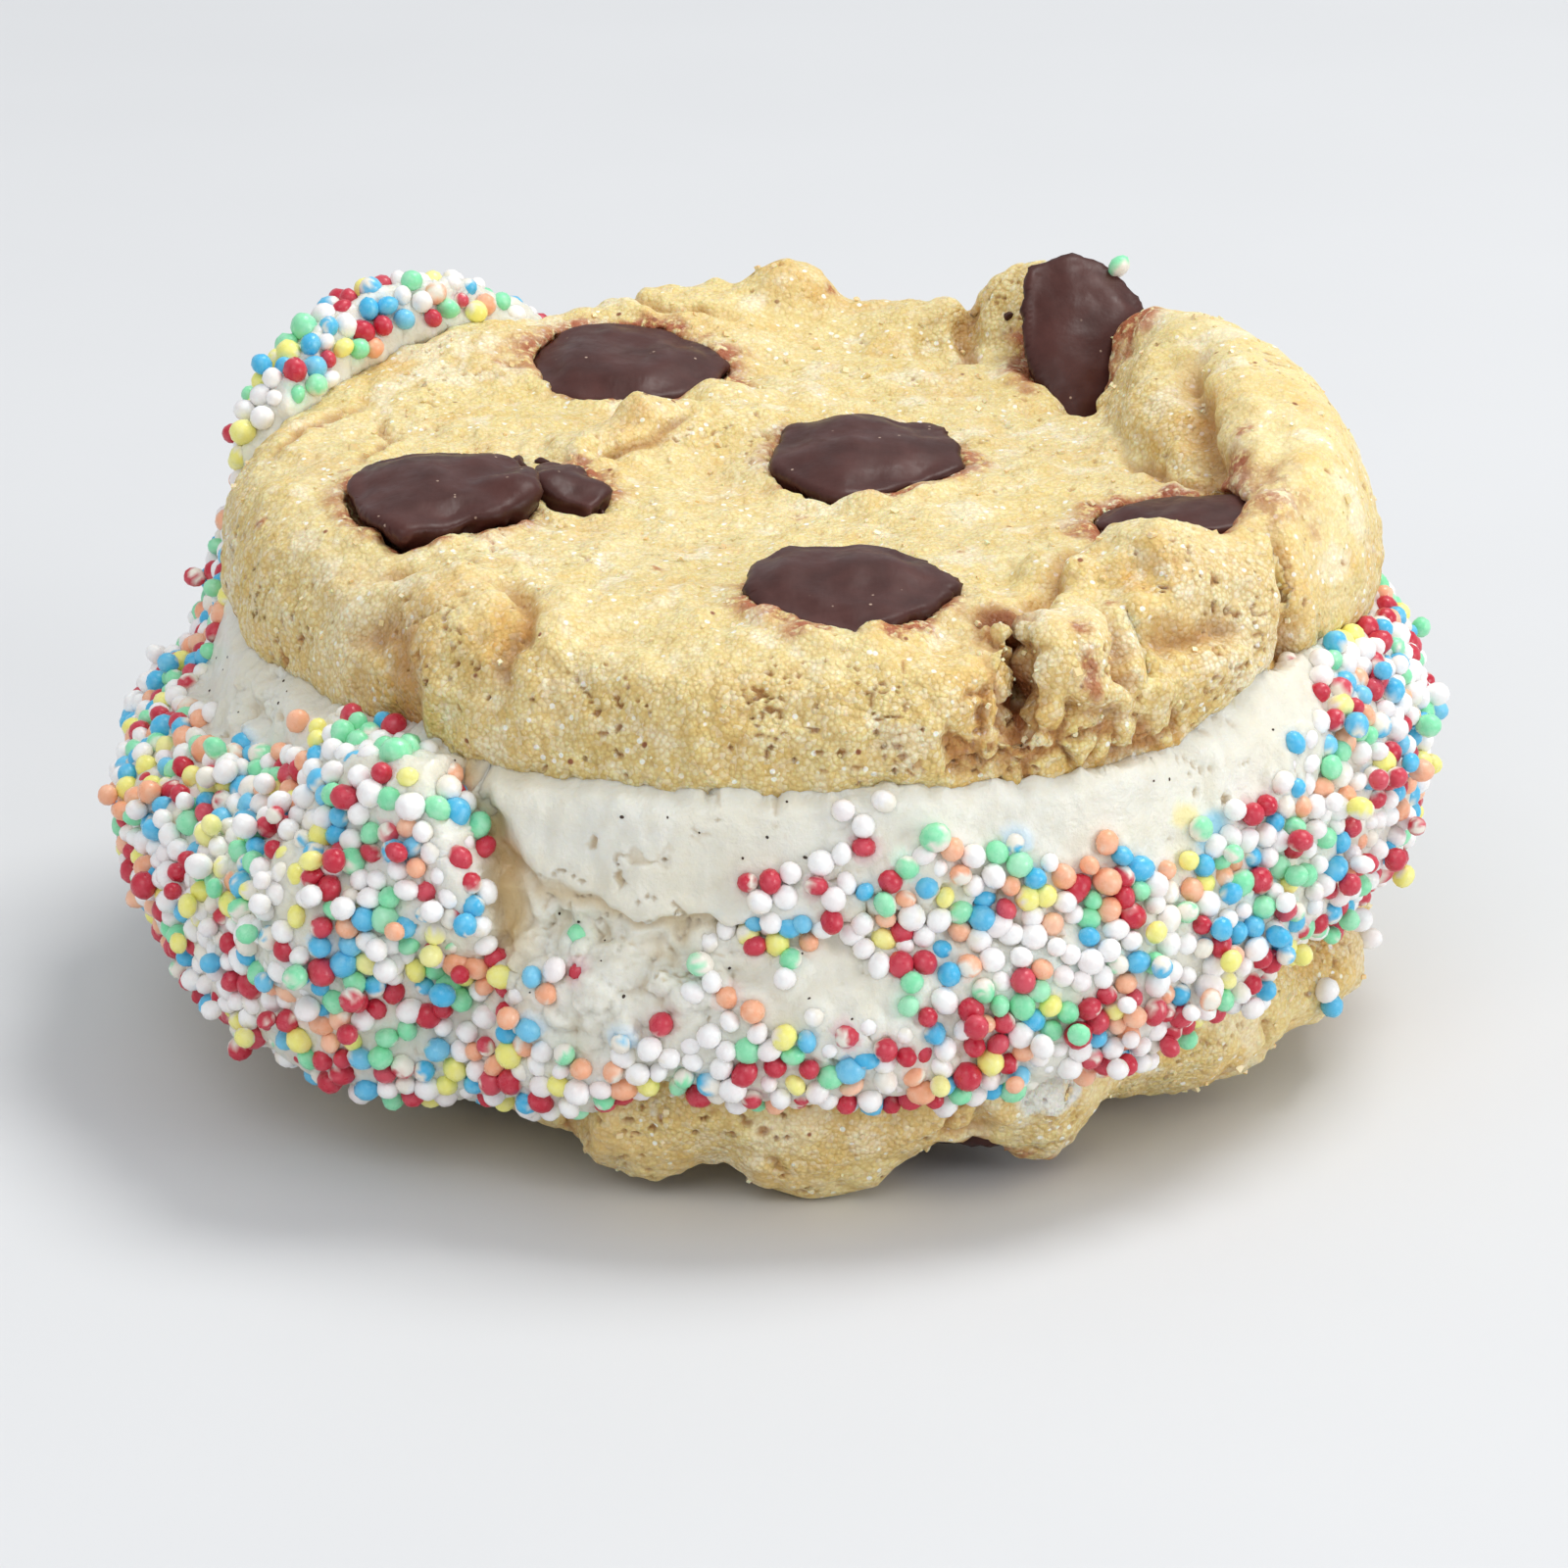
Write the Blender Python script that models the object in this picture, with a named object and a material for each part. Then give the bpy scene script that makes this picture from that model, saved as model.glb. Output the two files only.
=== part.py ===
"""Cookie ice cream sandwich: two chocolate chunk cookies with vanilla ice cream pressed between them.

The lower cookie lies upside down, with its flat side up, and the upper one has its flat side down.
X runs to the right, Y to the back and Z up. The origin is under the middle of the whole, on the table.
Sizes are in millimetres and angles in degrees, anticlockwise from +X seen from above, so -90 is the front.
"""

import math

import bmesh
import bpy
import numpy as np
from mathutils import Euler, Vector

MM = 0.001  # Blender's metres

# Heights that drive the stack.
LOWER_TOP = 12.0  # the lower cookie's flat side
UPPER_BASE = 30.4  # the upper cookie's flat side
GAP = 0.45  # ice cream to cookie
POCKET_GAP = 0.4  # chocolate to cookie

# Both cookies.
LOWER_CENTRE = (1.6, 1.0)
UPPER_CENTRE = (2.0, 2.6)
LOWER_THICKNESS = 11.0
UPPER_THICKNESS = 9.3
RIM_DEPTH = 4.6  # how far in from the outline the crust starts to round over
BASE_ROUNDING = 2.0  # the same at the flat side
WIDEST_AT = 0.38  # height of the rim's widest line, as a share of the thickness

# How finely the round forms are made before they are thinned out, and what is kept of them.
AROUND = 144
COOKIE_RINGS = 40
CREAM_RINGS = 40
UPPER_KEPT = 0.19
LOWER_KEPT = 0.12
CREAM_KEPT = 0.17

# Outline radius at an angle. The upper cookie has a notch on each side of its back lobe.
UPPER_OUTLINE = {
    -180: 41.8, -163: 40.4, -150: 39.2, -139: 39.6, -127: 40.9, -112: 41.8, -98: 42.4, -80: 42.2,
    -66: 43.0, -54: 42.0, -41: 40.6, -28: 40.0, -10: 41.0, 8: 41.4, 26: 41.2, 40: 39.6, 50: 36.6,
    60: 41.2, 68: 39.6, 74: 38.4, 84: 41.4, 92: 42.2, 104: 41.2, 116: 39.6, 126: 38.6, 138: 41.6,
    152: 42.8, 166: 42.4,
}
LOWER_OUTLINE = {
    -180: 39.5, -150: 39.0, -128: 39.6, -118: 38.4, -108: 41.0, -92: 41.6, -76: 40.6, -66: 41.4,
    -54: 39.6, -40: 40.2, -20: 41.2, 0: 41.6, 25: 41.4, 50: 40.6, 75: 41.0, 105: 40.4, 130: 39.8,
    155: 40.2,
}

# Upper crust: rolls and mounds as paths of (x, y, half width, height).
FLAP = [(29.5, 24.0, 6.6, 5.4), (32.8, 13.5, 8.6, 6.4), (36.0, 1.5, 7.6, 6.0), (37.4, -8.5, 6.2, 4.2),
        (36.4, -18.5, 5.2, 2.2)]
BACK_LOBE = [(17.0, 38.5, 5.0, 2.4), (22.0, 35.5, 6.6, 6.6), (27.0, 32.0, 4.4, 3.4)]
CRUMBLED_MOUND = [(21.0, -21.5, 4.4, 1.8), (26.5, -20.5, 5.6, 3.6), (32.0, -21.5, 4.4, 2.6)]
MIDDLE_RIDGE = [(-13.5, 7.5, 3.2, 0.9), (-7.0, 11.5, 3.8, 1.9), (0.5, 12.5, 3.2, 1.3)]
UPPER_ROLLS = [FLAP, BACK_LOBE, CRUMBLED_MOUND, MIDDLE_RIDGE]
# Upper crust: soft swellings and dips as (x, y, reach, height).
UPPER_SWELLINGS = [
    (-23.5, -22.5, 7.0, 2.0), (-16.0, -29.0, 8.0, 1.4), (2.0, -34.0, 13.0, 0.9), (-31.0, -6.0, 11.0, 0.9),
    (-24.0, 31.0, 17.0, 2.8), (-6.0, 38.0, 14.0, 3.2), (1.5, 40.0, 5.0, 1.8), (11.0, 38.0, 10.0, 3.0),
    (19.0, -34.5, 6.0, 1.0), (30.0, -30.0, 6.5, -0.8), (13.0, 30.5, 4.0, -1.6), (15.4, 38.0, 3.6, -2.4),
    (24.0, 21.5, 5.0, -3.0), (15.0, 14.0, 14.0, -0.7), (-4.0, -8.0, 20.0, -0.9), (36.0, -27.0, 5.0, -1.5),
    (24.5, -30.5, 3.0, -1.8), (12.0, -33.0, 4.0, -0.8),
]
# Lower crust, which faces down: height is the depth below the flat side.
LOWER_SWELLINGS = [
    (3.0, -37.0, 9.0, 4.4), (-9.0, -36.0, 6.0, 3.4), (18.5, -33.0, 5.0, 3.0), (-17.0, -34.0, 5.5, 3.6),
    (-27.0, -20.0, 9.0, 1.6), (32.0, -21.0, 9.0, 1.8), (-24.0, 22.0, 12.0, 1.6), (14.0, 32.0, 10.0, 1.4),
]
LOWER_DOME_FLAT = 21.0  # radius from which the dome rises
LOWER_DOME_EDGE = 44.0  # radius at which it has risen by
LOWER_DOME_RISE = 5.8
LOWER_FLATTENED = 0.7  # how much the table has flattened the dome
TABLE_CUTTER = (120.0, 120.0, 6.0)

# Cracks as paths of (x, y, half width), cut down to a height.
UPPER_CRACKS = {
    "main": (34.2, [(15.4, -30.0, 0.3), (16.6, -34.0, 0.9), (16.0, -38.0, 1.2), (17.6, -42.0, 1.4),
                    (17.8, -46.0, 1.8)]),
    "mound": (35.4, [(23.6, -27.6, 0.3), (25.0, -32.0, 0.9), (24.2, -36.0, 1.0), (26.0, -40.0, 1.2)]),
    "flap": (36.8, [(33.0, -17.0, 0.3), (35.2, -21.5, 0.8), (36.0, -27.0, 1.1), (38.4, -31.0, 1.3)]),
}
LOWER_CRACKS = {
    "left": (6.6, [(-13.4, -34.0, 0.6), (-14.6, -38.0, 1.3), (-15.6, -43.0, 1.8)]),
    "right": (4.4, [(13.4, -33.0, 0.4), (14.6, -37.0, 0.8), (15.4, -42.0, 1.2)]),
}

# Chocolate chunks as (x, y, width, depth, height, rise above the crust, taper, turn, pitch, roll).
UPPER_CHUNKS = {
    "chunk_back_left": (-11.3, 25.0, 14.6, 14.8, 4.6, 1.7, 0.0, 8, 7, 0),
    "chunk_left": (-23.8, -5.6, 13.0, 15.6, 4.6, 1.8, 0.1, -12, 3, 0),
    "chunk_left_shard": (-14.7, -1.7, 4.2, 9.6, 4.0, 1.5, -0.1, 22, 3, 0),
    "chunk_middle": (6.3, 4.2, 13.6, 15.2, 4.6, 1.7, 0.1, -14, 4, 0),
    "chunk_front": (4.8, -25.8, 13.2, 15.4, 4.6, 1.7, 0.0, 4, 4, 0),
    "chunk_right": (28.6, -9.8, 13.2, 10.8, 4.6, 1.6, 0.0, 4, -6, -4),
    "chunk_back_lobe": (23.0, 26.4, 9.2, 16.4, 4.4, 3.0, 0.4, 12, 46, 0),
}
LOWER_CHUNKS = {
    "chunk_below_front": (13.4, -28.6, 13.0, 12.0, 4.4, 0.3, 0.0, 10, -5, 0),
    "chunk_below_left": (-26.5, -8.0, 13.6, 14.0, 4.6, 0.0, 0.1, 30, 0, 0),
    "chunk_below_back": (13.0, 27.5, 14.0, 13.4, 4.6, -0.1, 0.0, -20, 0, 0),
}

# Ice cream: side radius at an angle, and the heights of its lower edge and of its upper one.
CREAM_RADIUS = {
    -180: 42.0, -150: 41.6, -122: 41.4, -100: 41.4, -70: 41.6, -45: 42.0, -20: 42.8, 10: 43.1, 40: 43.0,
    70: 42.0, 100: 42.0, 128: 43.0, 143: 43.8, 158: 42.6,
}
CREAM_LOW = {
    -180: 11.4, -165: 10.2, -150: 8.0, -136: 6.4, -119: 6.2, -108: 7.4, -101: 10.4, -92: 9.2, -75: 9.2,
    -64: 9.2, -50: 10.8, -34: 12.8, -22: 13.6, -8: 13.0, 10: 12.0, 40: 10.4, 90: 9.2, 140: 9.4,
}
CREAM_TOP = {
    -150: 32.6, 60: 32.6, 90: 33.4, 97: 37.6, 104: 40.4, 114: 40.8, 121: 43.8, 128: 46.0, 136: 46.4,
    143: 45.0, 152: 42.0, 161: 37.6, 171: 32.6,
}
CREAM_UNDER_UPPER = 32.6  # the top under the upper cookie, before that is pressed in
CREAM_BELLY = 1.6  # how far the side stands out at mid height
CREAM_ROUNDING = 2.6
# Bulges of the side as (from angle, to angle, softness, from height, to height, amount).
CREAM_BULGES = [
    (-199, -126, 7.0, 3.0, 24.4, 4.2),  # lobe that hangs out on the left
    (-138, -127, 4.0, 14.0, 34.0, 2.2),  # the lobe's end, which climbs to the upper cookie
    (-116, -38, 7.0, 6.5, 21.0, 2.2),  # lower layer in front
    (-40, 66, 12.0, 8.0, 30.0, 2.0),  # right side
    (70, 165, 14.0, 6.0, 32.0, 2.0),  # back
]
# Hollows of the side, given in the same way.
CREAM_HOLLOWS = [
    (-200, -142, 8.0, 21.0, 37.0, 2.6),  # above the lobe
    (-118, -70, 8.0, 18.6, 22.6, 0.9),  # crease between the layers
]


def smooth(value, low, high):
    """0 below low, 1 above high and an S-curve between them."""
    t = np.clip((value - low) / (high - low), 0.0, 1.0)
    return t * t * (3.0 - 2.0 * t)


def bell(distance):
    """1 at 0, falling to 0 at 1."""
    return np.clip(1.0 - distance**2, 0.0, 1.0) ** 2


def plateau(value, low, high, soft):
    """1 between low and high, easing to 0 over soft on either side."""
    return smooth(value, low - soft, low + soft) * (1.0 - smooth(value, high - soft, high + soft))


def around(angle, stations):
    """The stations' value at an angle, eased from each station to the next."""
    keys = np.array(sorted(stations), float)
    values = np.array([stations[k] for k in sorted(stations)], float)
    keys = np.append(keys, keys[0] + 360.0)
    values = np.append(values, values[0])
    angle = (angle - keys[0]) % 360.0 + keys[0]
    i = np.clip(np.searchsorted(keys, angle, side="right") - 1, 0, len(keys) - 2)
    t = (angle - keys[i]) / (keys[i + 1] - keys[i])
    t = t * t * (3.0 - 2.0 * t)
    return values[i] * (1.0 - t) + values[i + 1] * t


def ripple(angle, size, start):
    """Small unevenness around an outline."""
    a = np.radians(angle)
    waves = np.sin(5 * a + start) + 0.7 * np.sin(9 * a + 2.3 * start) + 0.5 * np.sin(17 * a + 4.1 * start)
    return size * waves


def roll_height(x, y, path):
    """Height of a rounded roll whose crest follows path."""
    best = np.full(np.shape(x), 0.0)
    for (x0, y0, w0, h0), (x1, y1, w1, h1) in zip(path, path[1:]):
        dx, dy = x1 - x0, y1 - y0
        t = np.clip(((x - x0) * dx + (y - y0) * dy) / (dx * dx + dy * dy), 0.0, 1.0)
        distance = np.hypot(x - x0 - t * dx, y - y0 - t * dy) / (w0 + t * (w1 - w0))
        best = np.maximum(best, (h0 + t * (h1 - h0)) * np.clip(1.0 - distance**2, 0.0, 1.0) ** 0.75)
    return best


def swelling_height(x, y, swellings):
    """Sum of soft swellings and dips."""
    total = np.zeros(np.shape(x))
    for cx, cy, reach, height in swellings:
        total += height * bell(np.hypot(x - cx, y - cy) / reach)
    return total


def upper_crust(x, y):
    """Height of the upper cookie's crust above its flat side."""
    rolls = sum(roll_height(x, y, path) for path in UPPER_ROLLS)
    waves = 0.25 * np.sin(0.42 * x + 0.9) * np.sin(0.37 * y + 0.4)
    return UPPER_THICKNESS + rolls + swelling_height(x, y, UPPER_SWELLINGS) + waves


def lower_crust(x, y):
    """Depth of the lower cookie's crust below its flat side, before the table has flattened it."""
    out = np.hypot(x - LOWER_CENTRE[0], y - LOWER_CENTRE[1])
    dome = LOWER_DOME_RISE * smooth(out, LOWER_DOME_FLAT, LOWER_DOME_EDGE)
    waves = 0.35 * np.sin(0.45 * x + 0.3) * np.sin(0.41 * y + 1.2)
    return LOWER_TOP + LOWER_FLATTENED - dome + swelling_height(x, y, LOWER_SWELLINGS) + waves


def sphere_directions(bm):
    """Angle round Z and share of the way from the top pole to the bottom one, for each vertex."""
    co = np.array([v.co for v in bm.verts])
    angle = np.degrees(np.arctan2(co[:, 1], co[:, 0]))
    return angle, np.arccos(np.clip(co[:, 2], -1.0, 1.0)) / math.pi


def place_points(bm, points):
    for vertex, point in zip(bm.verts, points):
        vertex.co = Vector(point) * MM


def new_object(name, bm, collection):
    mesh = bpy.data.meshes.new(name)
    bmesh.ops.recalc_face_normals(bm, faces=bm.faces)
    if bm.calc_volume(signed=True) < 0:
        bmesh.ops.reverse_faces(bm, faces=bm.faces)
    bm.to_mesh(mesh)
    bm.free()
    obj = bpy.data.objects.new(name, mesh)
    collection.objects.link(obj)
    mesh.shade_smooth()
    return obj


def cookie_points(angle, down, centre, outline, thickness, crust):
    """Points of a cookie that lies on its flat side.

    down runs from the crust's middle round the rim to the flat side's middle.
    """
    radius = around(angle, outline) + ripple(angle, 0.22, thickness)
    crust_end, rim_end = 0.68, 0.92
    turn = np.radians(90.0 - 180.0 * np.clip((down - crust_end) / (rim_end - crust_end), 0.0, 1.0))
    inset = np.where(turn >= 0, RIM_DEPTH, BASE_ROUNDING)
    reach = radius - inset + inset * np.cos(turn)
    reach = np.where(down < crust_end, (radius - RIM_DEPTH) * down / crust_end, reach)
    reach = np.where(down > rim_end, (radius - BASE_ROUNDING) * (1.0 - down) / (1.0 - rim_end), reach)
    x = centre[0] + reach * np.cos(np.radians(angle))
    y = centre[1] + reach * np.sin(np.radians(angle))
    widest = WIDEST_AT * thickness
    above = widest + (crust(x, y) - widest) * np.sin(turn)
    below = widest + widest * np.sin(turn)
    return x, y, np.where(turn >= 0, above, below)


def thin_out(obj, kept):
    """Keeps this share of the triangles, most where the form curves."""
    modifier = obj.modifiers.new("Thin", "DECIMATE")
    modifier.ratio = kept
    modifier.use_collapse_triangulate = True


def make_cookie(name, centre, outline, thickness, crust, flat_side, upside_down, kept, collection):
    bm = bmesh.new()
    bmesh.ops.create_uvsphere(bm, u_segments=AROUND, v_segments=COOKIE_RINGS, radius=1.0)
    angle, down = sphere_directions(bm)
    x, y, z = cookie_points(angle, down, centre, outline, thickness, crust)
    height = flat_side - z if upside_down else flat_side + z
    place_points(bm, np.stack([x, y, height], axis=1))
    cookie = new_object(name, bm, collection)
    thin_out(cookie, kept)
    return cookie


def chunk_surface(angle, down, width, depth, height, taper):
    """Points of a chunk with an uneven outline and a deeper underside. Taper makes it wider at the back."""
    latitude = np.pi * (0.5 - down)
    a = np.radians(angle)
    uneven = 1.0 + 0.05 * np.sin(3 * a + width) + 0.035 * np.sin(5 * a + depth)
    reach = np.cos(latitude) ** 0.75 * uneven
    rise = np.sin(latitude)
    rise = np.where(rise > 0, 0.42 * rise, 0.58 * rise)
    across = 0.5 * width * reach * np.cos(a) * (1.0 + taper * np.sin(a))
    return np.stack([across, 0.5 * depth * reach * np.sin(a), height * rise], axis=1)


def make_chunk(name, place, size, turns, collection):
    bm = bmesh.new()
    bmesh.ops.create_uvsphere(bm, u_segments=12, v_segments=6, radius=1.0)
    place_points(bm, chunk_surface(*sphere_directions(bm), *size))
    chunk = new_object(name, bm, collection)
    chunk.location = Vector(place) * MM
    pitch, roll, turn = turns
    chunk.rotation_euler = Euler([math.radians(t) for t in (pitch, roll, turn)])
    return chunk


def helper(obj):
    """A cutter or guide isn't part of the object."""
    obj.hide_render = True
    obj.display_type = "WIRE"
    return obj


def grown_form(obj, gap, collection):
    """A copy that is bigger by the gap all round, for cutting the hollow that holds the part."""
    form = obj.copy()
    form.name = obj.name + "_form"
    collection.objects.link(form)
    grow = form.modifiers.new("Grow", "DISPLACE")
    grow.strength = gap * MM
    grow.mid_level = 0.0
    return helper(form)


def boolean(obj, operation, other):
    modifier = obj.modifiers.new(operation.title() + "." + other.name, "BOOLEAN")
    modifier.operation = operation
    modifier.solver = "EXACT"
    modifier.object = other


def make_crack(name, path, low, high, collection):
    """A cutter with a crack's outline, from height low to high."""
    bm = bmesh.new()
    ends = []
    for height in (low, high):
        left = [bm.verts.new(Vector((x - w, y, height)) * MM) for x, y, w in path]
        right = [bm.verts.new(Vector((x + w, y, height)) * MM) for x, y, w in reversed(path)]
        ends.append(left + right)
        bm.faces.new(ends[-1])
    count = len(ends[0])
    for i in range(count):
        j = (i + 1) % count
        bm.faces.new((ends[0][i], ends[0][j], ends[1][j], ends[1][i]))
    return helper(new_object(name, bm, collection))


def flatten(cookie, collection):
    """Makes the cookie's foot level with the table."""
    bm = bmesh.new()
    bmesh.ops.create_cube(bm, size=1.0)
    bmesh.ops.scale(bm, vec=Vector(TABLE_CUTTER) * MM, verts=bm.verts)
    bmesh.ops.translate(bm, vec=(0.0, 0.0, -0.5 * TABLE_CUTTER[2] * MM), verts=bm.verts)
    boolean(cookie, "DIFFERENCE", helper(new_object("table", bm, collection)))


def side_form(angle, height, start, end, soft, low, high):
    """1 in the middle of a bulge of the side. It eases off sideways and is round from low to high."""
    middle = 0.5 * (start + end)
    turned = (angle - middle + 180.0) % 360.0 - 180.0 + middle
    along = np.clip((height - low) / (high - low), 0.0, 1.0)
    return plateau(turned, start, end, soft) * np.sqrt(4.0 * along * (1.0 - along))


def cream_points(angle, down):
    """Points of the ice cream before the cookies are pressed into it.

    down runs from the top's middle to the underside's.
    """
    top_end, side_end = 0.2, 0.86
    low, top = around(angle, CREAM_LOW), around(angle, CREAM_TOP)
    along = np.clip((down - top_end) / (side_end - top_end), 0.0, 1.0)
    height = top + (low - top) * along
    radius = around(angle, CREAM_RADIUS) + ripple(angle, 0.2, 1.7)
    radius = radius + CREAM_BELLY * (np.sin(np.pi * along) - 0.5)
    for *where, amount in CREAM_BULGES:
        radius = radius + amount * side_form(angle, height, *where)
    for *where, amount in CREAM_HOLLOWS:
        radius = radius - amount * side_form(angle, height, *where)
    from_end = np.minimum(height - low, top - height)
    rounded = np.clip(1.0 - from_end / CREAM_ROUNDING, 0.0, 1.0)
    radius = radius - CREAM_ROUNDING * (1.0 - np.sqrt(1.0 - rounded**2))
    inward = np.clip(np.maximum((top_end - down) / top_end, (down - side_end) / (1.0 - side_end)), 0.0, 1.0)
    radius = radius * (1.0 - inward)
    height = np.where(down > side_end, low + (LOWER_TOP - 1.0 - low) * smooth(inward, 0.02, 0.2), height)
    height = np.where(down < top_end, top + (CREAM_UNDER_UPPER - top) * smooth(inward, 0.02, 0.18), height)
    x = radius * np.cos(np.radians(angle))
    y = radius * np.sin(np.radians(angle))
    return np.stack([x, y, height], axis=1)


def make_cream(cookies, collection, cutters):
    bm = bmesh.new()
    bmesh.ops.create_uvsphere(bm, u_segments=AROUND, v_segments=CREAM_RINGS, radius=1.0)
    place_points(bm, cream_points(*sphere_directions(bm)))
    cream = new_object("ice_cream", bm, collection)
    thin_out(cream, CREAM_KEPT)
    for cookie in cookies:
        boolean(cream, "DIFFERENCE", grown_form(cookie, GAP, cutters))
    return cream


def add_chunks(cookie, chunks, crust, flat_side, upside_down, collection, cutters):
    """Sets each chunk into a pocket of the cookie."""
    made = []
    for name, (x, y, width, depth, height, rise, taper, turn, pitch, roll) in chunks.items():
        above = crust(x, y) + rise - 0.42 * height
        z = flat_side - above if upside_down else flat_side + above
        turns = (pitch + 180 if upside_down else pitch, roll, turn)
        chunk = make_chunk(name, (x, y, z), (width, depth, height, taper), turns, collection)
        boolean(cookie, "DIFFERENCE", grown_form(chunk, POCKET_GAP, cutters))
        made.append(chunk)
    return made


def add_cracks(cookie, cracks, depth_from, name, cutters):
    """Cuts each crack down from the crust, or up from it under the lower cookie."""
    for label, (reach, path) in cracks.items():
        low, high = sorted((reach, depth_from))
        boolean(cookie, "DIFFERENCE", make_crack(name + label, path, low, high, cutters))


def finish(name, colour, roughness):
    material = bpy.data.materials.new(name)
    material.use_nodes = True
    shader = material.node_tree.nodes["Principled BSDF"]
    shader.inputs["Base Color"].default_value = (*colour, 1.0)
    shader.inputs["Roughness"].default_value = roughness
    shader.inputs["Metallic"].default_value = 0.0
    material.diffuse_color = (*colour, 1.0)
    return material


def new_collection(name):
    collection = bpy.data.collections.new(name)
    bpy.context.scene.collection.children.link(collection)
    return collection


def main():
    for obj in list(bpy.data.objects):
        bpy.data.objects.remove(obj)
    food = new_collection("cookie_ice_cream_sandwich")
    cutters = new_collection("cutters")

    lower = make_cookie("cookie_lower", LOWER_CENTRE, LOWER_OUTLINE, LOWER_THICKNESS, lower_crust,
                        LOWER_TOP, True, LOWER_KEPT, food)
    upper = make_cookie("cookie_upper", UPPER_CENTRE, UPPER_OUTLINE, UPPER_THICKNESS, upper_crust,
                        UPPER_BASE, False, UPPER_KEPT, food)
    cream = make_cream([lower, upper], food, cutters)
    flatten(lower, cutters)
    add_cracks(lower, LOWER_CRACKS, -3.0, "lower_crack_", cutters)
    add_cracks(upper, UPPER_CRACKS, 60.0, "upper_crack_", cutters)
    chunks = add_chunks(lower, LOWER_CHUNKS, lower_crust, LOWER_TOP, True, food, cutters)
    chunks += add_chunks(upper, UPPER_CHUNKS, upper_crust, UPPER_BASE, False, food, cutters)

    dough = finish("cookie", (0.62, 0.43, 0.17), 0.75)
    vanilla = finish("ice_cream", (0.84, 0.79, 0.66), 0.45)
    chocolate = finish("chocolate", (0.06, 0.025, 0.018), 0.4)
    lower.data.materials.append(dough)
    upper.data.materials.append(dough)
    cream.data.materials.append(vanilla)
    for chunk in chunks:
        chunk.data.materials.append(chocolate)


main()
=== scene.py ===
"""The looks of the cookie ice cream sandwich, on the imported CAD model.

Every piece starts from its CAD node: the form is remeshed finely, its facets are smoothed away, and
relief is added along the surface. Lengths are millimetres and angles degrees, unless a comment says
otherwise, and a length turns into Blender's metres where a mesh is written. Angles run anticlockwise
from +X, so -90 is the front.
"""

import itertools
import math

import bmesh
import bpy
import numpy as np
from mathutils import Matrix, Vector
from mathutils.bvhtree import BVHTree
from mathutils.kdtree import KDTree


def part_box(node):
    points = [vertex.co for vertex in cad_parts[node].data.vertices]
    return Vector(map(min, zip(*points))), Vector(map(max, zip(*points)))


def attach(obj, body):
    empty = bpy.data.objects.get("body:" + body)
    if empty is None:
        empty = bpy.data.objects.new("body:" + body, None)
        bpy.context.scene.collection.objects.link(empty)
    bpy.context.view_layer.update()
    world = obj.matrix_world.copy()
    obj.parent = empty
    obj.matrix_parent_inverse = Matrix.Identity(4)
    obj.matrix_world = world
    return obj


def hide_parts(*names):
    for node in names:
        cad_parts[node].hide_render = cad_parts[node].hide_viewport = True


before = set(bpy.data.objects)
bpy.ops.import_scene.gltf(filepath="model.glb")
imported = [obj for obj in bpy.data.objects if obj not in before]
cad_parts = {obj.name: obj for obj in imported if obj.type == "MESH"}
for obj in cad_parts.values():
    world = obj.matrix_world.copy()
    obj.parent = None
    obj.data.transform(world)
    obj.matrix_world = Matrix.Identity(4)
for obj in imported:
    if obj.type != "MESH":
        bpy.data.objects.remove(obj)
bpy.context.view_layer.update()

MM = 0.001  # in metres

# Finest mesh edge of each form, and the most triangles that are kept of the large ones.
UPPER_VOXEL = 0.3
LOWER_VOXEL = 0.36
CREAM_VOXEL = 0.32
CHUNK_VOXEL = 0.38
HIDDEN_CHUNK_VOXEL = 0.6
UPPER_TRIANGLES = 195000
LOWER_TRIANGLES = 90000
CREAM_TRIANGLES = 190000
LOOSE_FACES = 20  # patches of fewer faces are stray bits
WELD_REACH = 0.01  # points nearer than this are one point

BALL_SIZE = 1.66
BALL_DENSITY = 1.16  # spacing of the places that are tried
BALL_SPACING = 1.46  # how far apart the balls are then pushed
BALL_CANDIDATES = 60000
SEED_CANDIDATES = 1200
SEED_COUNT = 45

UPPER_CHUNKS = [
    "chunk_back_left", "chunk_left", "chunk_left_shard", "chunk_middle", "chunk_front", "chunk_right",
    "chunk_back_lobe"]
LOWER_CHUNKS = ["chunk_below_front", "chunk_below_left", "chunk_below_back"]

# The stage, in metres. Windows are given as (name, place, size, energy, colour).
FLOOR_LEVEL = -0.0001
WINDOWS = [
    ("top_window", (0.315, 0.18, 0.82), 0.4, 4.2, (1, 0.99, 0.96)),
    ("right_window", (0.765, -0.405, 0.225), 0.35, 2.2, (1, 0.99, 0.97)),
    ("front_window", (-0.16, -0.6, 0.6), 0.5, 1.4, (1, 0.99, 0.97))]
WINDOW_AIM = Vector((0, 0, 0.02))
CAMERA_PLACE = (0.0007, -0.4629, 0.1897)
CAMERA_DIP = 20.5  # degrees below the horizon
CAMERA_LENS = 157.5  # mm, on a sensor of 36 mm


# ---- numbers and noise


def length(vectors):
    return np.linalg.norm(vectors, axis=1)


def unit(vectors):
    return vectors / length(vectors)[:, None]


def smooth(value, low, high):
    """0 at low, 1 at high and an S-curve between them."""
    t = np.clip((value - low) / (high - low), 0, 1)
    return t * t * (3 - 2 * t)


def bell(distance):
    """1 at 0, falling to 0 at 1."""
    return np.clip(1 - distance**2, 0, 1) ** 2


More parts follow.
